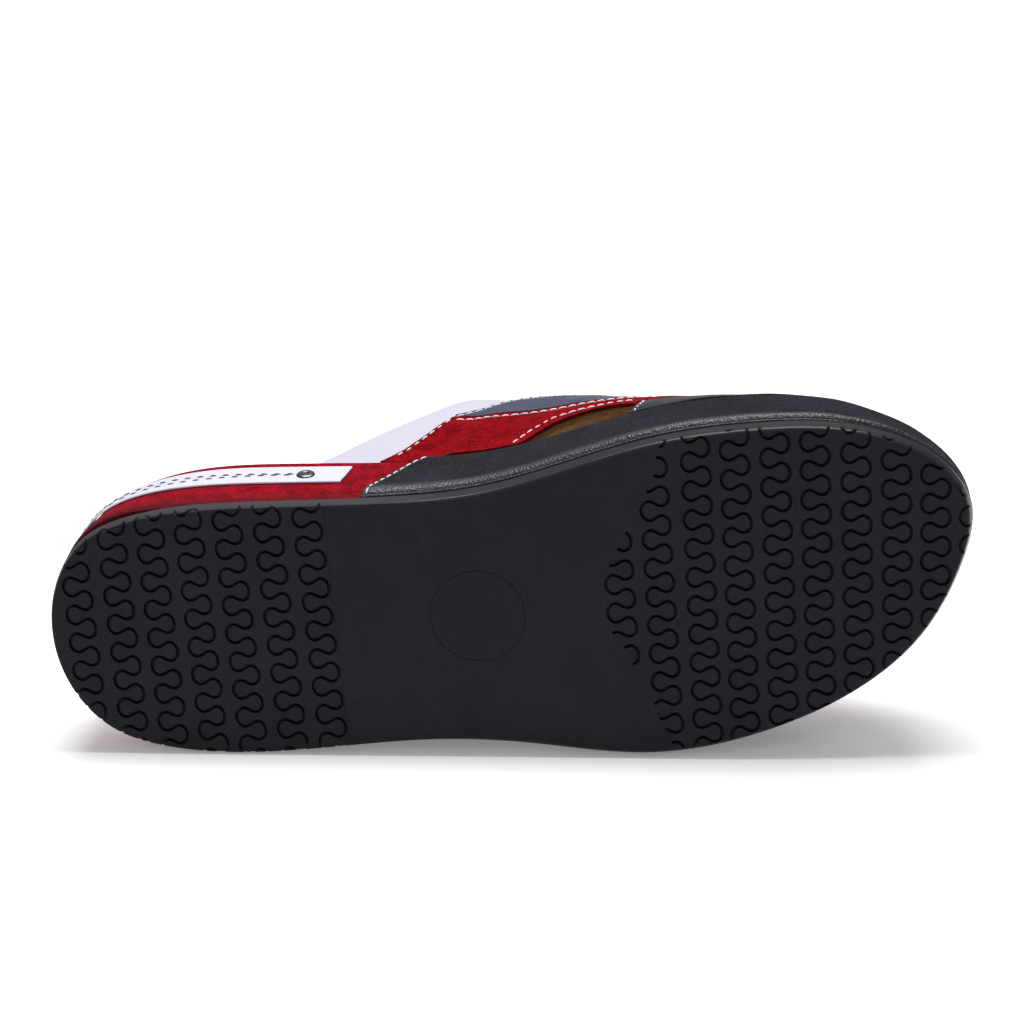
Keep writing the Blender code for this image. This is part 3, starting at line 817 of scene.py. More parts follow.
tan_lining = lining()
black_rubber = rubber()
gunmetal = metal()
white_thread = thread("white_thread", (0.86, 0.85, 0.86), (0.62, 0.60, 0.62))
grey_thread = thread("grey_thread", (0.075, 0.075, 0.085), (0.045, 0.045, 0.05))
print(len(bpy.data.materials), "materials")

# %% [markdown]
# ## Outsole
#
# The outsole is moulded rubber, 5 mm thick. Meander grooves run across it under the heel and the
# forefoot, and run out through its edge, where they show as notches. A displacement map could
# not keep such steep walls, so the grooves are real cutters, taken out with a Boolean.


# %% The slab with its rounded edge
EDGE_CRISP = 0.0004
EDGE_ROUND = 0.0015
# along: where the rubber's edge goes from crisp to round
EDGE_CHANGE = (0.30, 0.50)


def edge_rounding(x):
    """The rubber's lower edge: crisp at the heel, rounded round the forefoot."""
    return EDGE_CRISP + (EDGE_ROUND - EDGE_CRISP) * smooth_step(x / LENGTH, *EDGE_CHANGE)


SLAB_EDGE = (
    # shares of the rounding outwards and upwards, height share, share of the side's bulge
    (0.00, 0.00, 0.0, 0.0), (0.38, 0.08, 0.0, 0.0), (0.71, 0.29, 0.0, 0.0),
    (0.92, 0.62, 0.0, 0.0), (1.00, 1.00, 0.0, 0.0), (1.00, 1.00, 0.4, 0.6),
    (1.00, 1.00, 0.6, 0.75), (1.00, 1.00, 0.9, 0.75),
    (1.00, 1.00, 1.0, 0.3),
)
SIDE_BULGE = 0.0008
HALF = 170


def paired_places():
    """Places paired across the shoe, so that a flat face can be closed in straight strips."""
    share = (1 - np.cos(np.linspace(0, math.pi, HALF + 1))) / 2
    along = SOLE[0, 0] + (SOLE[TOE, 0] - SOLE[0, 0]) * share
    return np.concatenate([place_of(along), place_of(along[-2:0:-1], -1)])


PLACES = paired_places()


def stacked(name, rings):
    """Rings of points from below upwards, joined by a laid grid and closed in strips."""
    count = len(PLACES)
    rings = np.array(rings)

    def place(u, v):
        return rings[np.rint(v).astype(int), np.rint(u).astype(int) % count]

    piece = laid_grid(name, np.arange(count + 1), np.arange(len(rings)), place, merge=1e-7)
    bm = bmesh.new()
    bm.from_mesh(piece.data)
    found = {tuple(np.round(v.co, 7)): v for v in bm.verts}
    for ring, turned in ((rings[0], True), (rings[-1], False)):
        loop = [found[tuple(np.round(Vector(p), 7))] for p in ring]
        for k in range(HALF):
            corners = list(dict.fromkeys([loop[k], loop[k + 1], loop[-k - 1], loop[-k % count]]))
            bm.faces.new(corners[::-1] if turned else corners)
    bmesh.ops.recalc_face_normals(bm, faces=bm.faces)
    bm.to_mesh(piece.data)
    bm.free()
    return piece


def slab_ring(out, up, rise, bulge):
    def stand_out(x, across):
        return edge_rounding(x) * (out - 1) + SIDE_BULGE * bulge

    def height(x):
        low = edge_rounding(x) * up
        return tread_height(x) + low + (OUTSOLE - low) * rise

    return beside(PLACES, stand_out, height)


outsole = stacked("outsole_rubber", [slab_ring(*row) for row in SLAB_EDGE])
print("slab:", len(outsole.data.polygons), "faces")

# %% [markdown]
# A groove is a chain of round lobes that lean on each other: each lobe is nearly a circle, 6 mm
# across, and a short S leads to the next one on the other side. The chains lean a little against
# the shoe's axis. On the forefoot they stop at a curved border towards the waist.

# %% Meander grooves
LOBE_ACROSS = 0.00306
LOBE_ALONG = 0.00247
LOBE_OFFSET = 0.00185
HALF_PERIOD = 0.0046
GROOVE_WIDTH = 0.00112
GROOVE_DEPTH = 0.0017
# the band across the shoe that the chains fill, and how far they run past the sole's side and ends
CHAIN_FROM, CHAIN_TO = -0.075, 0.055
PAST_SIDE, PAST_END = 0.003, 0.002
FOREFOOT_FROM = 150
# the ring on the waist and the faint line at the heel's front, each with its width and depth
RING_CENTRE = (0.1330, -0.0043)
RING_RADIUS = 0.0146
RING_CUT = (0.00035, 0.00018)
HEEL_LINE = ((0.0869, -0.0425), (0.0882, -0.015), (0.0897, 0.010), (0.0912, 0.0400))
HEEL_LINE_CUT = (0.0005, 0.00012)
# distance from the heel in mm where the chain crosses the middle, lean, a lobe's place across in mm
CHAINS = (
    (9.6, 0.045, -18.6), (22.2, 0.048, -15.5), (34.4, 0.051, -20.2), (46.7, 0.054, -17.2),
    (59.0, 0.057, -21.6), (71.5, 0.059, -17.8), (84.0, 0.062, -22.6),
    (177.5, 0.034, -19.1), (189.7, 0.032, -24.3), (202.1, 0.019, -21.4), (213.7, 0.015, -24.9),
    (225.7, 0.013, -22.4), (237.4, 0.009, -18.2), (249.2, 0.001, -23.5), (261.0, -0.005, -20.8),
    (272.5, -0.009, -25.1), (284.2, -0.006, -20.4),
)
# across, and the distance from the heel in mm where the forefoot pattern starts
PAD_BORDER = (
    (-60.6, 190.6), (-51.0, 188.2), (-44.8, 185.8), (-32.0, 179.2), (-22.4, 174.2), (-12.7, 171.8),
    (-3.0, 172.4), (2.2, 174.3), (7.5, 177.9), (15.0, 182.3), (23.1, 185.7), (31.4, 188.6),
    (38.0, 191.5),
)


def lobe_chain():
    """One period of the meander: along, across, from a left lobe's end to the next one's."""
    quarter = np.linspace(0, math.pi / 2, 9)[:-1]
    neck = np.linspace(0, 1, 7)[:-1]
    drop = 2 * LOBE_ACROSS - HALF_PERIOD
    points = []
    for a in quarter:
        across = -HALF_PERIOD + LOBE_ACROSS * math.sin(a)
        points.append((-LOBE_OFFSET - LOBE_ALONG * math.cos(a), across))
    for s in neck:
        ease = (1 - math.cos(math.pi * s)) / 2
        points.append((LOBE_OFFSET * (2 * s - 1), -HALF_PERIOD + LOBE_ACROSS - drop * ease))
    for a in quarter:
        points.append((LOBE_OFFSET + LOBE_ALONG * math.sin(a), -LOBE_ACROSS * math.cos(a)))
    half = np.array(points)
    return np.vstack([half, (half * (1, -1))[::-1][:-1] + (0, 0)])


def chain_points(row):
    """The points of one chain right across the shoe, on its lean."""
    middle, lean, phase = row
    period = 2 * HALF_PERIOD
    unit = lobe_chain()
    all_points = []
    start = CHAIN_FROM + (phase * MM - CHAIN_FROM) % period
    while start < CHAIN_TO:
        all_points.append(unit + (0, start))
        start += period
    line = np.vstack(all_points)
    keep = np.concatenate([[True], np.linalg.norm(np.diff(line, axis=0), axis=1) > 5e-5])
    line = line[keep]
    turn = math.atan(lean)
    x = middle * MM + line[:, 0] * math.cos(turn) + line[:, 1] * math.sin(turn)
    y = line[:, 1] * math.cos(turn) - line[:, 0] * math.sin(turn)
    return np.stack([x, y], axis=1)


def runs_of(line, good):
    """The stretches of a line whose points are all wanted."""
    found, run = [], []
    for point, wanted in zip(line, good):
        if wanted:
            run.append(point)
        elif run:
            found.append(np.array(run))
            run = []
    if run:
        found.append(np.array(run))
    return [run for run in found if len(run) > 6]


def near_sole(line):
    """Which points lie on the sole or just past its edge."""
    medial = np.interp(line[:, 0], MEDIAL[:, 0], MEDIAL[:, 1])
    lateral = np.interp(line[:, 0], LATERAL[:, 0], LATERAL[:, 1])
    inside = (line[:, 1] > medial - PAST_SIDE) & (line[:, 1] < lateral + PAST_SIDE)
    return inside & (line[:, 0] > -PAST_END) & (line[:, 0] < LENGTH + PAST_END)


def groove_cutter(bm, line, width, depth):
    """A ribbon along a line in the tread's plane, from under the tread to the groove's floor."""
    ahead = np.gradient(line, axis=0)
    ahead /= np.linalg.norm(ahead, axis=1)[:, None]
    side = np.stack([-ahead[:, 1], ahead[:, 0]], axis=1) * width / 2
    rows = []
    for sign, up in ((1, -0.001), (-1, -0.001), (-0.75, depth), (0.75, depth)):
        xy = line + side * sign
        z = tread_height(line[:, 0]) + up
        rows.append([bm.verts.new((x, y, h)) for (x, y), h in zip(xy, z)])
    for a, b in ((0, 1), (1, 2), (2, 3), (3, 0)):
        for k in range(len(line) - 1):
            bm.faces.new((rows[a][k], rows[a][k + 1], rows[b][k + 1], rows[b][k]))
    bm.faces.new([row[0] for row in rows])
    bm.faces.new([row[-1] for row in rows][::-1])


def groove_lines():
    border = np.array(PAD_BORDER) * MM
    lines = []
    for row in CHAINS:
        line = chain_points(row)
        good = near_sole(line)
        if row[0] > FOREFOOT_FROM:
            good &= line[:, 0] > np.interp(line[:, 1], border[:, 0], border[:, 1])
        lines += runs_of(line, good)
    return lines


def cut_grooves():
    bm = bmesh.new()
    lines = groove_lines()
    for line in lines:
        groove_cutter(bm, line, GROOVE_WIDTH, GROOVE_DEPTH)
    ring = np.linspace(0, 2 * math.pi, 97)
    circle = RING_CENTRE + RING_RADIUS * np.stack([np.cos(ring), np.sin(ring)], axis=1)
    for half in (circle[:49], circle[48:]):
        groove_cutter(bm, half, *RING_CUT)
    groove_cutter(bm, np.array(HEEL_LINE), *HEEL_LINE_CUT)
    bmesh.ops.recalc_face_normals(bm, faces=bm.faces)
    mesh = bpy.data.meshes.new("groove_cutters")
    bm.to_mesh(mesh)
    bm.free()
    cutters = bpy.data.objects.new("groove_cutters", mesh)
    bpy.context.scene.collection.objects.link(cutters)
    apply_modifier(
        outsole, "BOOLEAN", operation="DIFFERENCE", solver="EXACT", use_self=True, object=cutters
    )
    bpy.data.objects.remove(cutters)
    print(len(lines), "grooves cut,", len(outsole.data.polygons), "faces now")


cut_grooves()


# %% Mark the rubber's edge, lay the sole down and set it on the shoe in place of its solid
# the buffed band's width, and the heights over the tread between which it fades in; in front of
# the heel it starts lower by a roll
EDGE_BAND = 0.0016
EDGE_FADE = (0.0001, 0.0006)
EDGE_ROLL = 0.0009


def mark_edge(piece):
    """An attribute that is 1 on the side of the sole and 0 on the tread."""
    points = read_points(piece)
    above = points[:, 2] - tread_height(points[:, 0])
    medial = points[:, 1] - np.interp(points[:, 0], MEDIAL[:, 0], MEDIAL[:, 1])
    lateral = np.interp(points[:, 0], LATERAL[:, 0], LATERAL[:, 1]) - points[:, 1]
    at_ends = np.minimum(points[:, 0] - SOLE[0, 0], SOLE[TOE, 0] - points[:, 0])
    inset = np.minimum(np.minimum(medial, lateral), at_ends)
    near = 1 - smooth_step(inset, 0.0, EDGE_BAND)
    rolled = EDGE_ROLL * smooth_step(points[:, 0], 0.10, 0.15)
    mark_points(piece, "edge", near * smooth_step(above + rolled, *EDGE_FADE))


mark_edge(outsole)
outsole.data.materials.append(black_rubber)
smooth(outsole, 30)
lay_down(outsole)
hand_in(outsole, "outsole_rubber", "outsole")

# %% [markdown]
# ## Platform
#
# The wedge is light foam wrapped in red suede. Its side is one band of suede, so a grid is laid
# round the outline and closed above and below. Where the suede turns under, at the outsole, it
# is made darker.

# %% The wedge
# share of the side's height, inset and drop in mm
PLATFORM_ROWS = (
    (0.0, 0.5, 0.0), (0.02, 0.1, 0.0), (0.08, -0.1, 0.0), (0.2, 0.0, 0.0), (0.35, 0.0, 0.0),
    (0.5, 0.0, 0.0), (0.65, 0.0, 0.0), (0.8, 0.0, 0.0), (0.93, 0.0, 0.0), (1.0, 0.0, 1.1),
    (1.0, 0.2, 0.6), (1.0, 0.6, 0.2), (1.0, 1.4, 0.0),
)


def platform_ring(share, inset, drop):
    x, y, nx, ny = np.moveaxis(outline(PLACES), -1, 0)
    height = platform_bottom(x) * (1 - share) + platform_top(x) * share - drop * MM
    out = platform_side(x, ny, height) - inset * MM
    return np.stack([x + nx * out, y + ny * out, height], axis=-1)


def mark_foot(piece):
    """An attribute that is 1 at the platform's foot and 0 on its top."""
    points = read_points(piece)
    foot = platform_bottom(points[:, 0])
    rise = (points[:, 2] - foot) / (platform_top(points[:, 0]) - foot)
    mark_points(piece, "low_down", 1 - np.clip(rise, 0, 1))


platform = stacked("platform_suede", [platform_ring(*row) for row in PLATFORM_ROWS])
mark_foot(platform)
platform.data.materials.append(heel_suede)
smooth(platform, 50)
lay_down(platform)
hand_in(platform, "platform_suede", "midsole")

# %% [markdown]
# ## Rand
#
# A strip of black leather runs round the forefoot of the platform. Its lower edge is turned over
# a cord, which makes the roll that catches the light, and a thin welt lies under the roll. The
# section is drawn as a closed row of points and swept round the outline.

# %% The rand's section, swept round the forefoot
RAND_SECTION = (
    # height share from the outsole to the rim, thickness in mm over the platform, rubbed shine
    (0.000, 0.05, 0), (0.000, 0.90, 0), (0.006, 1.30, 0.5), (0.016, 1.50, 1), (0.028, 1.45, 0.8),
    (0.038, 1.15, 0.2), (0.046, 0.75, 0), (0.054, 0.60, 0), (0.062, 0.80, 0), (0.073, 1.20, 0.5),
    (0.087, 1.60, 0.9), (0.103, 1.92, 1), (0.122, 2.16, 1), (0.144, 2.32, 0.9), (0.168, 2.36, 0.55),
    (0.195, 2.28, 0.25), (0.225, 2.11, 0.1), (0.260, 1.90, 0), (0.300, 1.72, 0), (0.350, 1.56, 0),
    (0.420, 1.43, 0), (0.540, 1.34, 0), (0.680, 1.30, 0), (0.800, 1.30, 0), (0.890, 1.30, 0),
    (0.940, 1.26, 0), (0.972, 1.08, 0), (0.992, 0.80, 0), (1.000, 0.45, 0), (0.985, 0.15, 0),
    (0.900, 0.02, 0), (0.500, 0.02, 0),
)
# the rows of its outer face, from the crease over the welt up to the rim
RAND_FACE = RAND_SECTION[7:26]
# metres from the toe to one end, and from the end to the middle of the seam's trough
RAND_RUN = 0.24
RAND_TROUGH = 0.0020
RAND_TROUGH_DEPTH = 0.00022
# share of the thickness left at the very end, and how far the skiving reaches
RAND_SKIVED = 0.55
RAND_SKIVE = 0.0012
RAND_WAVE = 0.00010


def rand_turns(share):
    """How far round the toe the rand reaches at this height, as turns from 0 at the toe."""
    along = spline(share, column(RAND_END, 0), column(RAND_END, 1)) * LENGTH
    return 1 - place_of(along), 1 + place_of(along, -1)


def rand_point(u, share, thick):
    """u from -1 to 1 round the toe, at a height share, standing thick metres over the platform."""
    medial, lateral = rand_turns(share)
    turn = np.where(u <= 0, u * medial, u * lateral)
    x, y, nx, ny = np.moveaxis(outline(round_toe(turn)), -1, 0)
    height = platform_bottom(x) * (1 - share) + rim_height(x) * share
    out = platform_side(x, ny, height) + GAP + thick
    return np.stack([x + nx * out, y + ny * out, height], axis=-1)


def make_rand():
    section = np.array(RAND_SECTION)
    us = crowded_ends(420, 0.002, 0.02)

    def place(u, v):
        row = np.rint(v).astype(int) % len(section)
        share, thick = section[row, 0], section[row, 1] * MM
        from_end = (1 - np.abs(u)) * RAND_RUN
        skived = RAND_SKIVED + (1 - RAND_SKIVED) * smooth_step(from_end, 0, RAND_SKIVE)
        trough = np.exp(-(((from_end - RAND_TROUGH) / 0.0008) ** 2)) * (thick > 0.0005)
        wave = np.sin(u * 63.0 + share * 5) * np.sin(share * math.pi) * (thick > 0.001)
        sunk = thick * skived - RAND_TROUGH_DEPTH * trough
        return rand_point(u, share, sunk + RAND_WAVE * wave)

    def rubbed(u, v):
        return section[np.rint(v).astype(int) % len(section), 2]

    rows = np.arange(len(section) + 1)
    piece = laid_grid("rand_leather", us, rows, place, marks={"rubbed": rubbed})
    close_ends(piece)
    return piece


rand = make_rand()
rand.data.materials.append(rand_leather)
smooth(rand, 60)
lay_down(rand)
hand_in(rand, "rand_leather", "rand")

# %% [markdown]
# ## Heel strip and eyelets
#
# A narrow strip of white leather runs round the heel, glued on the suede just under the rim. Its
# ends are cut on a slant. A domed eyelet sits near each end, and two rows of dark stitches run
# from one eyelet to the other.


# %% The strip
def strip_point(u, share, thick):
    """u from -1 to 1 round the heel, medial end at 1, share up the strip."""
    along = (STRIP_END[0] + (STRIP_END[1] - STRIP_END[0]) * share) * LENGTH
    places = np.where(u >= 0, u * place_of(along), -u * place_of(along, -1) - 1e-9)
    x, y, nx, ny = np.moveaxis(outline(places), -1, 0)
    height = rim_height(x) - STRIP_DROP - STRIP_HEIGHT * (1 - share)
    out = platform_side(x, ny, height) + GAP + thick
    return np.stack([x + nx * out, y + ny * out, height], axis=-1)


# share up the strip, share of its thickness: rounded edges, and a shallow trough for the stitches
STRIP_SECTION = (
    (0.0, 0.02), (0.0, 0.55), (0.012, 0.85), (0.04, 1.0), (0.09, 1.04), (0.2, 1.0), (0.35, 0.98),
    (0.44, 0.92), (0.5, 0.90), (0.56, 0.92), (0.65, 0.98), (0.8, 1.0), (0.91, 1.04), (0.96, 1.0),
    (0.988, 0.85), (1.0, 0.55), (1.0, 0.02),
)
# metres from the heel's back to one end, and the thickness in mm at the very end and further in
STRIP_RUN = 0.13
STRIP_THIN, STRIP_THICK = 0.36, 0.60
STRIP_SKIVE = 0.0007


def make_strip():
    section = np.array(STRIP_SECTION)
    us = crowded_ends(260, 0.0015, 0.012)

    def place(u, v):
        row = np.rint(v).astype(int) % len(section)
        inwards = smooth_step((1 - np.abs(u)) * STRIP_RUN, 0, STRIP_SKIVE)
        thick = STRIP_THIN + (STRIP_THICK - STRIP_THIN) * inwards
        return strip_point(u, section[row, 0], section[row, 1] * MM * thick)

    piece = laid_grid("heel_strip_leather", us, np.arange(len(section) + 1), place)
    close_ends(piece)
    return piece


strip = make_strip()
strip.data.materials.append(strip_leather)
smooth(strip, 50)
lay_down(strip)
hand_in(strip, "strip_leather", "heel_strip")

# %% The eyelets: a profile spun round its axis
EYELET_PROFILE = (
    # radius, height in mm
    (0.75, 0.30), (0.85, 0.62), (1.15, 0.98), (1.55, 1.16), (1.95, 1.12), (2.35, 0.88),
    (2.65, 0.50), (2.80, 0.12), (2.80, 0.0), (0.0, 0.0), (0.0, 0.28), (0.75, 0.30),
)
# the profile is made a little wider and flatter, and seated on the strip's face
EYELET_WIDER = 1.05
EYELET_FLATTER = 0.65
EYELET_SEAT = 0.00055
# its place round the heel and its share up the strip
EYELET_PLACE = 0.888
EYELET_SHARE = 0.43


def make_eyelet(name, side, solid):
    """A domed eyelet, spun from its profile and turned to face away from the strip."""
    u = np.array([0.0, 0.002, 0.0]) + EYELET_PLACE
    s = np.array([0.0, 0.0, 0.01]) + EYELET_SHARE
    a, b, c = strip_point(side * u, s, np.full(3, EYELET_SEAT))
    normal = Vector(np.cross(b - a, c - a)).normalized()
    if normal.y * side > 0:
        normal.negate()
    bpy.ops.object.select_all(action="DESELECT")
    bpy.ops.mesh.primitive_circle_add(vertices=3, radius=0.001)
    piece = bpy.context.object
    piece.name = piece.data.name = name
    mesh = piece.data
    mesh.clear_geometry()
    profile = [(EYELET_WIDER * r * MM, 0.0, EYELET_FLATTER * h * MM) for r, h in EYELET_PROFILE]
    mesh.from_pydata(profile, [(k, k + 1) for k in range(len(profile) - 1)], [])
    pick(piece)
    bpy.ops.object.mode_set(mode="EDIT")
    bpy.ops.mesh.select_mode(type="EDGE")
    bpy.ops.mesh.select_all(action="SELECT")
    bpy.ops.mesh.spin(steps=40, angle=2 * math.pi, center=(0, 0, 0), axis=(0, 0, 1))
    bpy.ops.mesh.select_all(action="SELECT")
    bpy.ops.mesh.remove_doubles(threshold=1e-6)
    bpy.ops.mesh.normals_make_consistent(inside=False)
    bpy.ops.object.mode_set(mode="OBJECT")
    turn = Vector((0, 0, 1)).rotation_difference(normal).to_matrix().to_4x4()
    mesh.transform(Matrix.Translation(Vector(a)) @ turn)
    mesh.materials.append(gunmetal)
    smooth(piece, 50)
    lay_down(piece)
    hand_in(piece, "eyelet_metal", solid)


make_eyelet("eyelet_medial_dome", 1, "eyelet_medial")
make_eyelet("eyelet_lateral_dome", -1, "eyelet_lateral")

# %% [markdown]
# ## Footbed
#
# The footbed fills the inside of the rim. It is tan leather over thin foam, with a low roll at its
# border, and it is dished a little inside that roll.


# %% The footbed
# inset and height in mm
FOOTBED_ROWS = (
    (0.0, 0.0), (0.0, 1.9), (0.4, 2.6), (1.1, 3.0), (2.2, 3.1), (4.0, 2.9), (6.5, 2.6),
    (10.0, 2.4), (15.0, 2.3), (21.0, 2.3),
)
FOOTBED_INSET = 4.2


def footbed_ring(inset, height):
    x, y, nx, ny = np.moveaxis(outline(PLACES), -1, 0)
    out = rim_flare(x, ny) - (FOOTBED_INSET + inset) * MM
    return np.stack([x + nx * out, y + ny * out, platform_top(x) + GAP + height * MM], axis=-1)


footbed = stacked("footbed_leather", [footbed_ring(*row) for row in FOOTBED_ROWS])
footbed.data.materials.append(tan_lining)
smooth(footbed, 50)
lay_down(footbed)
hand_in(footbed, "lining_leather", "insole")

# %% [markdown]
# ## Upper
#
# The base of the upper is white leather, lined with tan pigskin. It is a sheet laid on the skin
# and thickened inwards with Solidify, whose inner faces take the lining as a second material. The
# cut edges inside the side windows show the tan lining too.


# %% The white base with its lining
# how far the base is cut back from the window's arch
WINDOW_CUT = 0.0016
# along and up: the windows' cut edges lie in front of and below these
CUT_IN_FRONT_OF = 0.37
CUT_BELOW = 0.05
UPPER_ROUND = 0.0006


def upper_low(turn):
    arch = window_arch(turn)
    return np.where(arch > 0, arch + LIP + WINDOW_CUT, 0)


def make_upper():
    """The sheet from the platform to the top line, thickened inwards."""

    def place(u, v):
        first, last = upper_low(u), rib_length(u)
        return on_skin(u, first + (last - first) * v)

    turns = crowded(-1, 1, 0.0065, 0.0022, 0.012)
    piece = laid_grid("upper_leather", turns, crowded(0, 1, 0.022, 0.008, 0.03), place)
    face_outwards(piece)
    for material in (white_leather, tan_lining, white_leather):
        piece.data.materials.append(material)
    apply_modifier(
        piece,
        "SOLIDIFY",
        thickness=WALL,
        offset=-1,
        use_quality_normals=True,
        material_offset=1,
        material_offset_rim=2,
    )
    round_edges(piece, UPPER_ROUND)
    return piece


upper = make_upper()
for face in upper.data.polygons:
    in_window = face.center.x > CUT_IN_FRONT_OF * LENGTH and face.center.z < CUT_BELOW
    if face.material_index == 2 and in_window:
        face.material_index = 1
smooth(upper, 50)
lay_down(upper)
hand_in(upper, "upper_leather", "upper")

# %% [markdown]
# The overlays are thin leather, cut to shape, with an edge that is rounded and pressed down by
# its seam: a soft trough follows each line of stitches about 2 mm from the edge, and between two
# stitches the leather swells a little.


# %% How far an overlay stands off the skin
SEAM_INSET = 0.0018
TROUGH_DEPTH = 0.00030
TROUGH_WIDTH = 0.0008
SWELL_PITCH = 0.003
OVERLAY_OFF = 0.0005
OVERLAY_THICK = 0.0011
OVERLAY_APART = 0.0006
OVERLAY_ROUND = 0.00042
HIDE_WAVE = 0.00018
# metres of skin from the toe round to the collar
SKIN_RUN = 0.23
# turns that the band's end leans forward, and how far along the band the lean fades out
BACK_SLANT = 0.024
SLANT_FADE = 0.05


def quilted(distance, run):
    """The trough of a seam, at these distances from it, with swells between its stitches."""
    trough = np.exp(-((distance / TROUGH_WIDTH) ** 2))
    swell = 0.5 + 0.5 * np.cos(2 * math.pi * run / SWELL_PITCH)
    return -TROUGH_DEPTH * trough * (0.65 + 0.35 * swell)


def slanted(turn, share):
    """The band's back end leans forward as it rises; the lean fades out along the band."""
    from_end = 1 - BAND_BACK - np.abs(turn)
    return turn - np.sign(turn) * BACK_SLANT * share * np.exp(-from_end / SLANT_FADE)


def overlay(name, turns, low, high, rows, seams, outside, cut, bend=None):
    """A leather overlay on the skin, between the distances low(turn) and high(turn) up the ribs.

    Seams are functions of turn that give a distance. Bend moves a turn with its share up.
    """

    def place(u, v):
        if bend:
            u = bend(u, v)
        first, last = low(u), high(u)
        distance = first + (last - first) * v
        point = on_skin(u, distance)
        point[..., 2] += np.minimum(distance, 0)
        normal = skin_normal(u, distance)
        lift = OVERLAY_OFF + 0 * u
        for seam in seams:
            lift = lift + quilted(distance - seam(u), u * SKIN_RUN)
        slow = np.sin(u * 41 + distance * 170) * np.sin(u * 23 - distance * 260)
        return point + normal * (lift + HIDE_WAVE * slow)[..., None]

    piece = laid_grid(name, turns, rows, place)
    face_outwards(piece)
    piece.data.materials.append(outside)
    piece.data.materials.append(cut)
    apply_modifier(
        piece,
        "SOLIDIFY",
        thickness=OVERLAY_THICK,
        offset=1,
        use_quality_normals=True,
        material_offset_rim=1,
    )
    round_edges(piece, OVERLAY_ROUND)
    return piece


# %% The red band, the grey panel and the black toe guard
BAND_TUCK = 0.0012
GUARD_START = GUARD_BACK + 0.004


def band_low(turn):
    """The band's foot: tucked under at the collar, on the lip, over the window, over the guard."""
    way = 1 - np.abs(turn)
    on_lip = smooth_step(foot_along(turn), *LIP_START)
    rim = -BAND_TUCK + (LIP + 2 * GAP + BAND_TUCK) * on_lip
    arch = window_arch(turn)
    sill = np.where(arch > 0, np.maximum(rim, arch + LIP), rim)
    return np.where(way >= GUARD_BACK, guard_top(turn) + OVERLAY_APART, sill)


def two_sides(back, step):
    """Turns from one back end round the toe to the other, closer together at both ends."""
    return crowded(-(1 - back), 1 - back, step, 0.0016, 0.012)


band = overlay(
    "side_band_suede",
    two_sides(BAND_BACK, 0.0032),
    band_low,
    band_top,
    crowded(0, 1, 0.05, 0.018, 0.09),
    [lambda turn: band_top(turn) - SEAM_INSET],
    red_suede,
    suede_edge,
    bend=slanted,
)
smooth(band, 50)
lay_down(band)
hand_in(band, "band_suede", "side_band")

def panel_seam(turn):
    """The panel's seam ends at the tip of the tongue; past it, it lies nowhere near the panel."""
    return np.where(1 - np.abs(turn) < TONGUE_TIP, panel_top(turn) - SEAM_INSET, 9.0)


panel = overlay(
    "vamp_panel_leather",
    two_sides(PANEL_BACK, 0.0036),
    lambda turn: band_top(turn) + OVERLAY_APART,
    panel_top,
    crowded(0, 1, 0.035, 0.012, 0.06),
    [panel_seam],
    grey_leather,
    grey_leather,
)
smooth(panel, 50)
lay_down(panel)
hand_in(panel, "panel_leather", "vamp_panel")

guard = overlay(
    "toe_guard_leather",
    two_sides(GUARD_START, 0.0032),
    lambda turn: LIP + 2 * GAP + 0 * turn,
    guard_top,
    crowded(0, 1, 0.06, 0.02, 0.1),
    [],
    black_leather,
    black_leather,
)
smooth(guard, 50)
lay_down(guard)
hand_in(guard, "guard_leather", "toe_guard")

# %% [markdown]
# ## Stitches
#
# A stitch is a short piece of thread that dives into the leather at both ends. It is modelled
# once as a small bent capsule, and each copy is set on its seam with its own mesh.


# %% One stitch, and a seam of them
# shares of the thread's thickness that a stitch rises in its middle and dives at its ends
STITCH_RISE = 0.30
STITCH_DIVE = 0.40


def stitch_mesh(name, length, thick):
    """A ball drawn out to a stitch and bent, so that both ends dive into the leather."""
    bpy.ops.object.select_all(action="DESELECT")
    bpy.ops.mesh.primitive_uv_sphere_add(segments=8, ring_count=6, radius=0.5)
    made = bpy.context.object
    made.name = name
    points = read_points(made)[:, (2, 0, 1)]
    points[:, 0] *= length
    points[:, 1] *= thick
    bend = STITCH_RISE - STITCH_DIVE * (2 * points[:, 0] / length) ** 2
    points[:, 2] = (points[:, 2] + bend) * thick
    write_points(made, points)
    pick(made)
    bpy.ops.object.mode_set(mode="EDIT")
    bpy.ops.mesh.select_all(action="SELECT")
    bpy.ops.mesh.normals_make_consistent(inside=False)
    bpy.ops.object.mode_set(mode="OBJECT")
    bpy.ops.object.shade_smooth()
    return made


def along_line(line, run, distance):
    """The point of a line, or its normal, at a distance along it."""
    return np.array([np.interp(distance, run, line[:, k]) for k in range(3)])


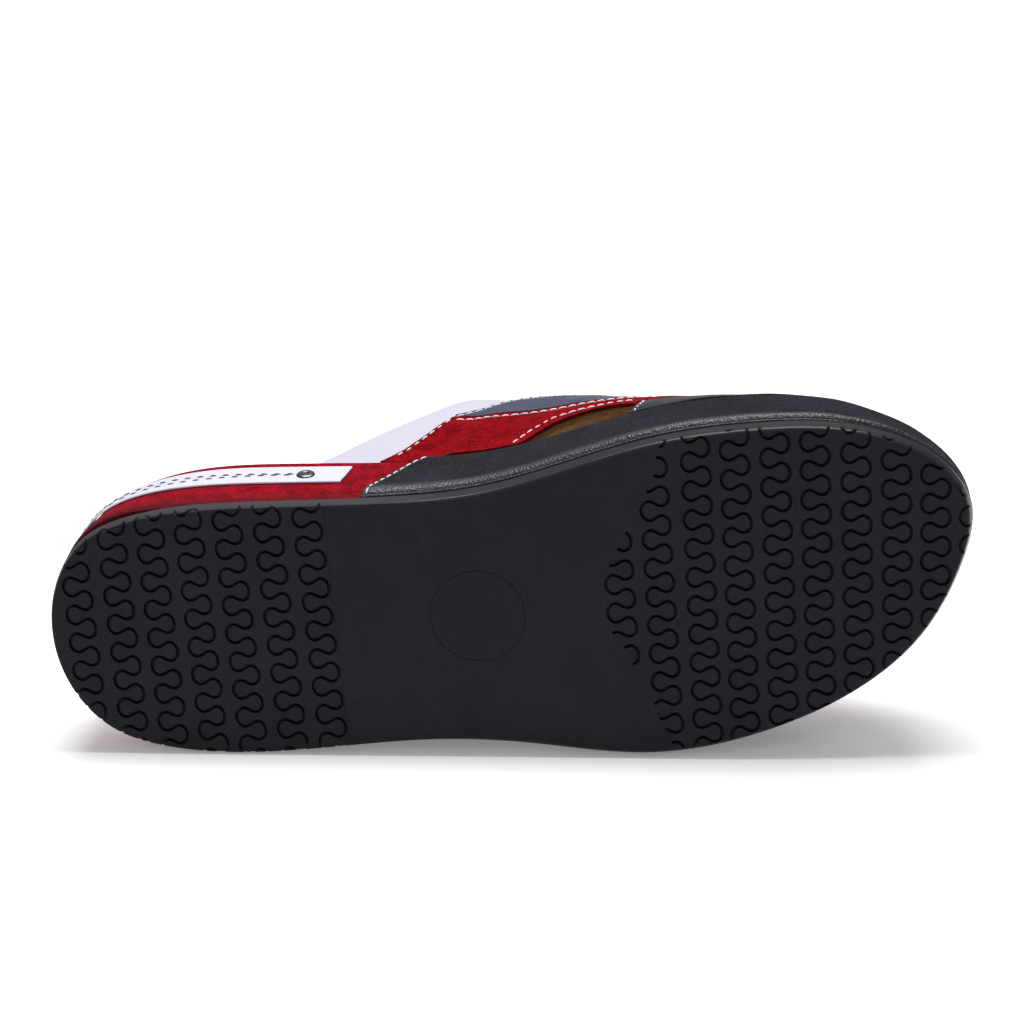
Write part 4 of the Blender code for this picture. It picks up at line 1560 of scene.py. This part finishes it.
def seam_of_stitches(name, lines, pitch, length, thick, material, slot):
    """Stitches along lines of points and normals, standing, at an even pitch."""
    pattern = stitch_mesh(name + "_pattern", length, thick)
    base = read_points(pattern)
    faces = [list(face.vertices) for face in pattern.data.polygons]
    all_points, all_faces, count = [], [], 0
    for points, normals in lines:
        run = run_along(points)
        number = int(run[-1] / pitch)
        for middle in (np.arange(number) + 0.5) * run[-1] / max(number, 1):
            ahead = along_line(points, run, middle + length / 2)
            ahead -= along_line(points, run, middle - length / 2)
            ahead /= np.linalg.norm(ahead)
            side = np.cross(along_line(normals, run, middle), ahead)
            side /= np.linalg.norm(side)
            turned = np.array([ahead, side, np.cross(ahead, side)])
            all_points.append(along_line(points, run, middle) + base @ turned)
            all_faces += [[k + count for k in face] for face in faces]
            count += len(base)
    bpy.data.objects.remove(pattern)
    mesh = bpy.data.meshes.new(name)
    mesh.from_pydata(laid(np.vstack(all_points)).tolist(), [], all_faces)
    piece = bpy.data.objects.new(name, mesh)
    bpy.context.scene.collection.objects.link(piece)
    mesh.materials.append(material)
    pick(piece)
    bpy.ops.object.shade_smooth()
    hand_in(piece, slot)


# %% White seams on the upper
STITCH = dict(pitch=0.00305, length=0.00285, thick=0.00060)
# stitches lie in the overlay's trough, a little under its face
SEAM_OFF = OVERLAY_OFF + OVERLAY_THICK - 0.00016
# way, height of the window's seam as a share of the arch's, and its distance from the arch
WINDOW_SEAM = (
    (0.262, 0.02), (0.280, 0.42), (0.305, 0.80), (0.340, 1.00), (0.375, 1.08), (0.410, 1.14),
    (0.432, 1.08),
)
WINDOW_INSET = 0.0021
BACK_SEAM_START = 0.0012


def skin_line(turns, distance):
    """A line of stitches on an overlay, at these turns and distances up the ribs."""
    normal = skin_normal(turns, distance)
    return on_skin(turns, distance) + normal * SEAM_OFF, normal


def both_sides(first, last, distance):
    """The same seam on the medial and on the lateral side, between two ways."""
    ways = np.linspace(first, last, 400)
    return [skin_line(side * (1 - ways), distance(side * (1 - ways))) for side in (-1, 1)]


def band_back_lines():
    """The seam along the slanted back end of the red band."""
    lines = []
    for side in (-1, 1):
        turn = side * (1 - BAND_BACK - SEAM_INSET / SKIN_RUN)
        top = float(band_top(np.array([turn]))[0])
        distance = np.linspace(LIP + BACK_SEAM_START, top - SEAM_INSET, 200)
        lines.append(skin_line(slanted(np.full(200, turn), distance / top), distance))
    return lines


def window_seam(turn):
    share = np.interp(1 - np.abs(turn), column(WINDOW_SEAM, 0), column(WINDOW_SEAM, 1))
    return WINDOW_HEIGHT * share + LIP + WINDOW_INSET


def guard_back_lines():
    """The short seam up each back end of the toe guard."""
    lines = []
    for side in (-1, 1):
        turn = side * (1 - GUARD_START - SEAM_INSET / SKIN_RUN)
        top = float(guard_top(np.array([turn]))[0])
        lines.append(skin_line(np.full(120, turn), np.linspace(LIP + MM, top - MM, 120)))
    return lines


red_seams = band_back_lines() + both_sides(WINDOW_SEAM[0][0], WINDOW_SEAM[-1][0], window_seam)
toe_round = np.linspace(-1, 1, 900) * (1 - BAND_BACK - BACK_SLANT - 0.012)
red_seams.append(skin_line(toe_round, band_top(toe_round) - SEAM_INSET))
panel_seams = both_sides(PANEL_BACK + 0.004, TONGUE_TIP - 0.001, panel_seam)
seam_of_stitches("stitches_band", red_seams, material=white_thread, slot="band_suede", **STITCH)
seam_of_stitches("stitches_panel", panel_seams, material=white_thread, slot="panel_leather", **STITCH)
seam_of_stitches("stitches_guard", guard_back_lines(), material=white_thread, slot="guard_leather", **STITCH)


# %% White seams on the rand's ends, dark rows on the heel strip
# the rand's seam: its distance from the end, and how far it is sunk in the leather
RAND_SEAM = 0.0022
RAND_SUNK = 0.0003
ROWS = dict(pitch=0.0040, length=0.0024, thick=0.00052)
# the rows end at this distance round the heel from the eyelets, and close up on their way there:
# shares up the strip, for their middle and for half their distance at the ends and what it gains
ROWS_END = 0.035
ROWS_MIDDLE = 0.45
ROWS_APART = (0.03, 0.11)
ROWS_SEAT = 0.00054


def line_over(surface, u, share, thick):
    """A line at this thickness over the platform's side, with normals that point away from it."""
    points = surface(u, share, thick)
    normals = points - surface(u, share, thick - MM)
    return points, normals / np.linalg.norm(normals, axis=1)[:, None]


def rand_lines():
    """The seam up each end of the rand, a little sunk in its face."""
    share = np.linspace(0.07, 0.985, 200)
    thick = np.interp(share, column(RAND_FACE, 0), column(RAND_FACE, 1)) * MM - RAND_SUNK
    ends = [side * (1 - RAND_SEAM / RAND_RUN) for side in (-1, 1)]
    return [line_over(rand_point, np.full(200, end), share, thick) for end in ends]


def strip_rows():
    """Two rows round the heel, the upper one a quarter of a stitch further along."""
    lines = []
    for row in (-1, 1):
        u = np.linspace(ROWS_END - EYELET_PLACE, EYELET_PLACE - ROWS_END, 900)
        spread = smooth_step(EYELET_PLACE - 0.025 - np.abs(u), 0.0, 0.45)
        apart = ROWS_APART[0] + ROWS_APART[1] * spread
        u = u + (0.25 * ROWS["pitch"] / STRIP_RUN if row > 0 else 0)
        share = ROWS_MIDDLE + row * apart
        lines.append(line_over(strip_point, u, share, np.full(900, ROWS_SEAT)))
    return lines


seam_of_stitches("stitches_rand", rand_lines(), material=white_thread, slot="rand_leather", **STITCH)
seam_of_stitches("stitches_strip", strip_rows(), material=grey_thread, slot="strip_leather", **ROWS)

# %% [markdown]
# ## Stage
#
# The floor is plain and pale. The camera is far away with a long lens, as in a product
# photograph, looking a little down on the tread. One large soft light hangs above and a weaker
# one fills in from the front, so the rolls of the rand get bright lines and the grooves stay dark.
# A third light whitens the floor behind the shoe.

# %% Floor, lights and camera
bpy.ops.object.select_all(action="DESELECT")
bpy.ops.mesh.primitive_plane_add(size=30, location=(0, 0, 0))
floor = bpy.context.object
floor.name = "floor"
paper = Finish("paper", 0.9, specular=0.05)
paper.colour(paper.mix(paper.noise(3, 2), (0.92, 0.92, 0.93), (0.94, 0.94, 0.94)))
paper.shader.inputs["Emission Color"].default_value = (1, 1, 1, 1)
paper.shader.inputs["Emission Strength"].default_value = 0.20
floor.data.materials.append(paper.made)
floor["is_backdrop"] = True

CAMERA_AZIMUTH = -6.6028
CAMERA_ELEVATION = 17.1
CAMERA_ROLL = -1.70528
CAMERA_TARGET = (0.0028937, -0.0511395, 0.0795932)
CAMERA_DISTANCE = 1.35
CAMERA_FOCUS = 4445.06
PICTURE = 1024
SENSOR = 36.0


def place_camera():
    azimuth = math.radians(CAMERA_AZIMUTH)
    elevation = math.radians(CAMERA_ELEVATION)
    roll = math.radians(CAMERA_ROLL)
    level = math.cos(elevation)
    ahead = Vector((math.sin(azimuth) * level, math.cos(azimuth) * level, -math.sin(elevation)))
    right = Vector((math.cos(azimuth), -math.sin(azimuth), 0.0))
    up = right.cross(ahead)
    turned_right = right * math.cos(roll) + up * math.sin(roll)
    turned_up = up * math.cos(roll) - right * math.sin(roll)
    data = bpy.data.cameras.new("camera")
    data.lens = CAMERA_FOCUS / PICTURE * SENSOR
    data.sensor_width = SENSOR
    camera = bpy.data.objects.new("camera", data)
    bpy.context.scene.collection.objects.link(camera)
    rotation = Matrix((turned_right, turned_up, -ahead)).transposed().to_4x4()
    place = Vector(CAMERA_TARGET) - ahead * CAMERA_DISTANCE
    camera.matrix_world = Matrix.Translation(place) @ rotation
    bpy.context.scene.camera = camera


def soft_light(name, place, aim, size, power, spread=180):
    data = bpy.data.lights.new(name, "AREA")
    data.shape = "RECTANGLE"
    data.size, data.size_y = size
    data.energy = power
    data.spread = math.radians(spread)
    light = bpy.data.objects.new(name, data)
    bpy.context.scene.collection.objects.link(light)
    light.location = place
    light.rotation_mode = "QUATERNION"
    light.rotation_quaternion = (Vector(aim) - Vector(place)).to_track_quat("-Z", "Y")


place_camera()
soft_light("overhead", (0.0, 0.05, 1.1), (0, 0, 0), (0.85, 0.5), 15.0)
soft_light("front", (-0.5, -1.6, 0.9), (0, 0, 0.05), (1.2, 0.8), 4.0)
soft_light("backdrop", (0.0, 1.9, 1.3), (0, 1.9, 0), (4.0, 1.6), 45.0, spread=110)
world = bpy.data.worlds.new("studio")
bpy.context.scene.world = world
world.use_nodes = True
background = world.node_tree.nodes["Background"]
background.inputs["Color"].default_value = (0.97, 0.975, 1.0, 1)
background.inputs["Strength"].default_value = 0.30
bpy.context.scene.view_settings.view_transform = "Standard"

# %% Compare the sizes and finish
dressed_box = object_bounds()
sizes = zip(solid_box[1] - solid_box[0], dressed_box[1] - dressed_box[0])
print("the dressed shoe is larger than the solids by", [round((b - a) / MM, 2) for a, b in sizes], "mm")
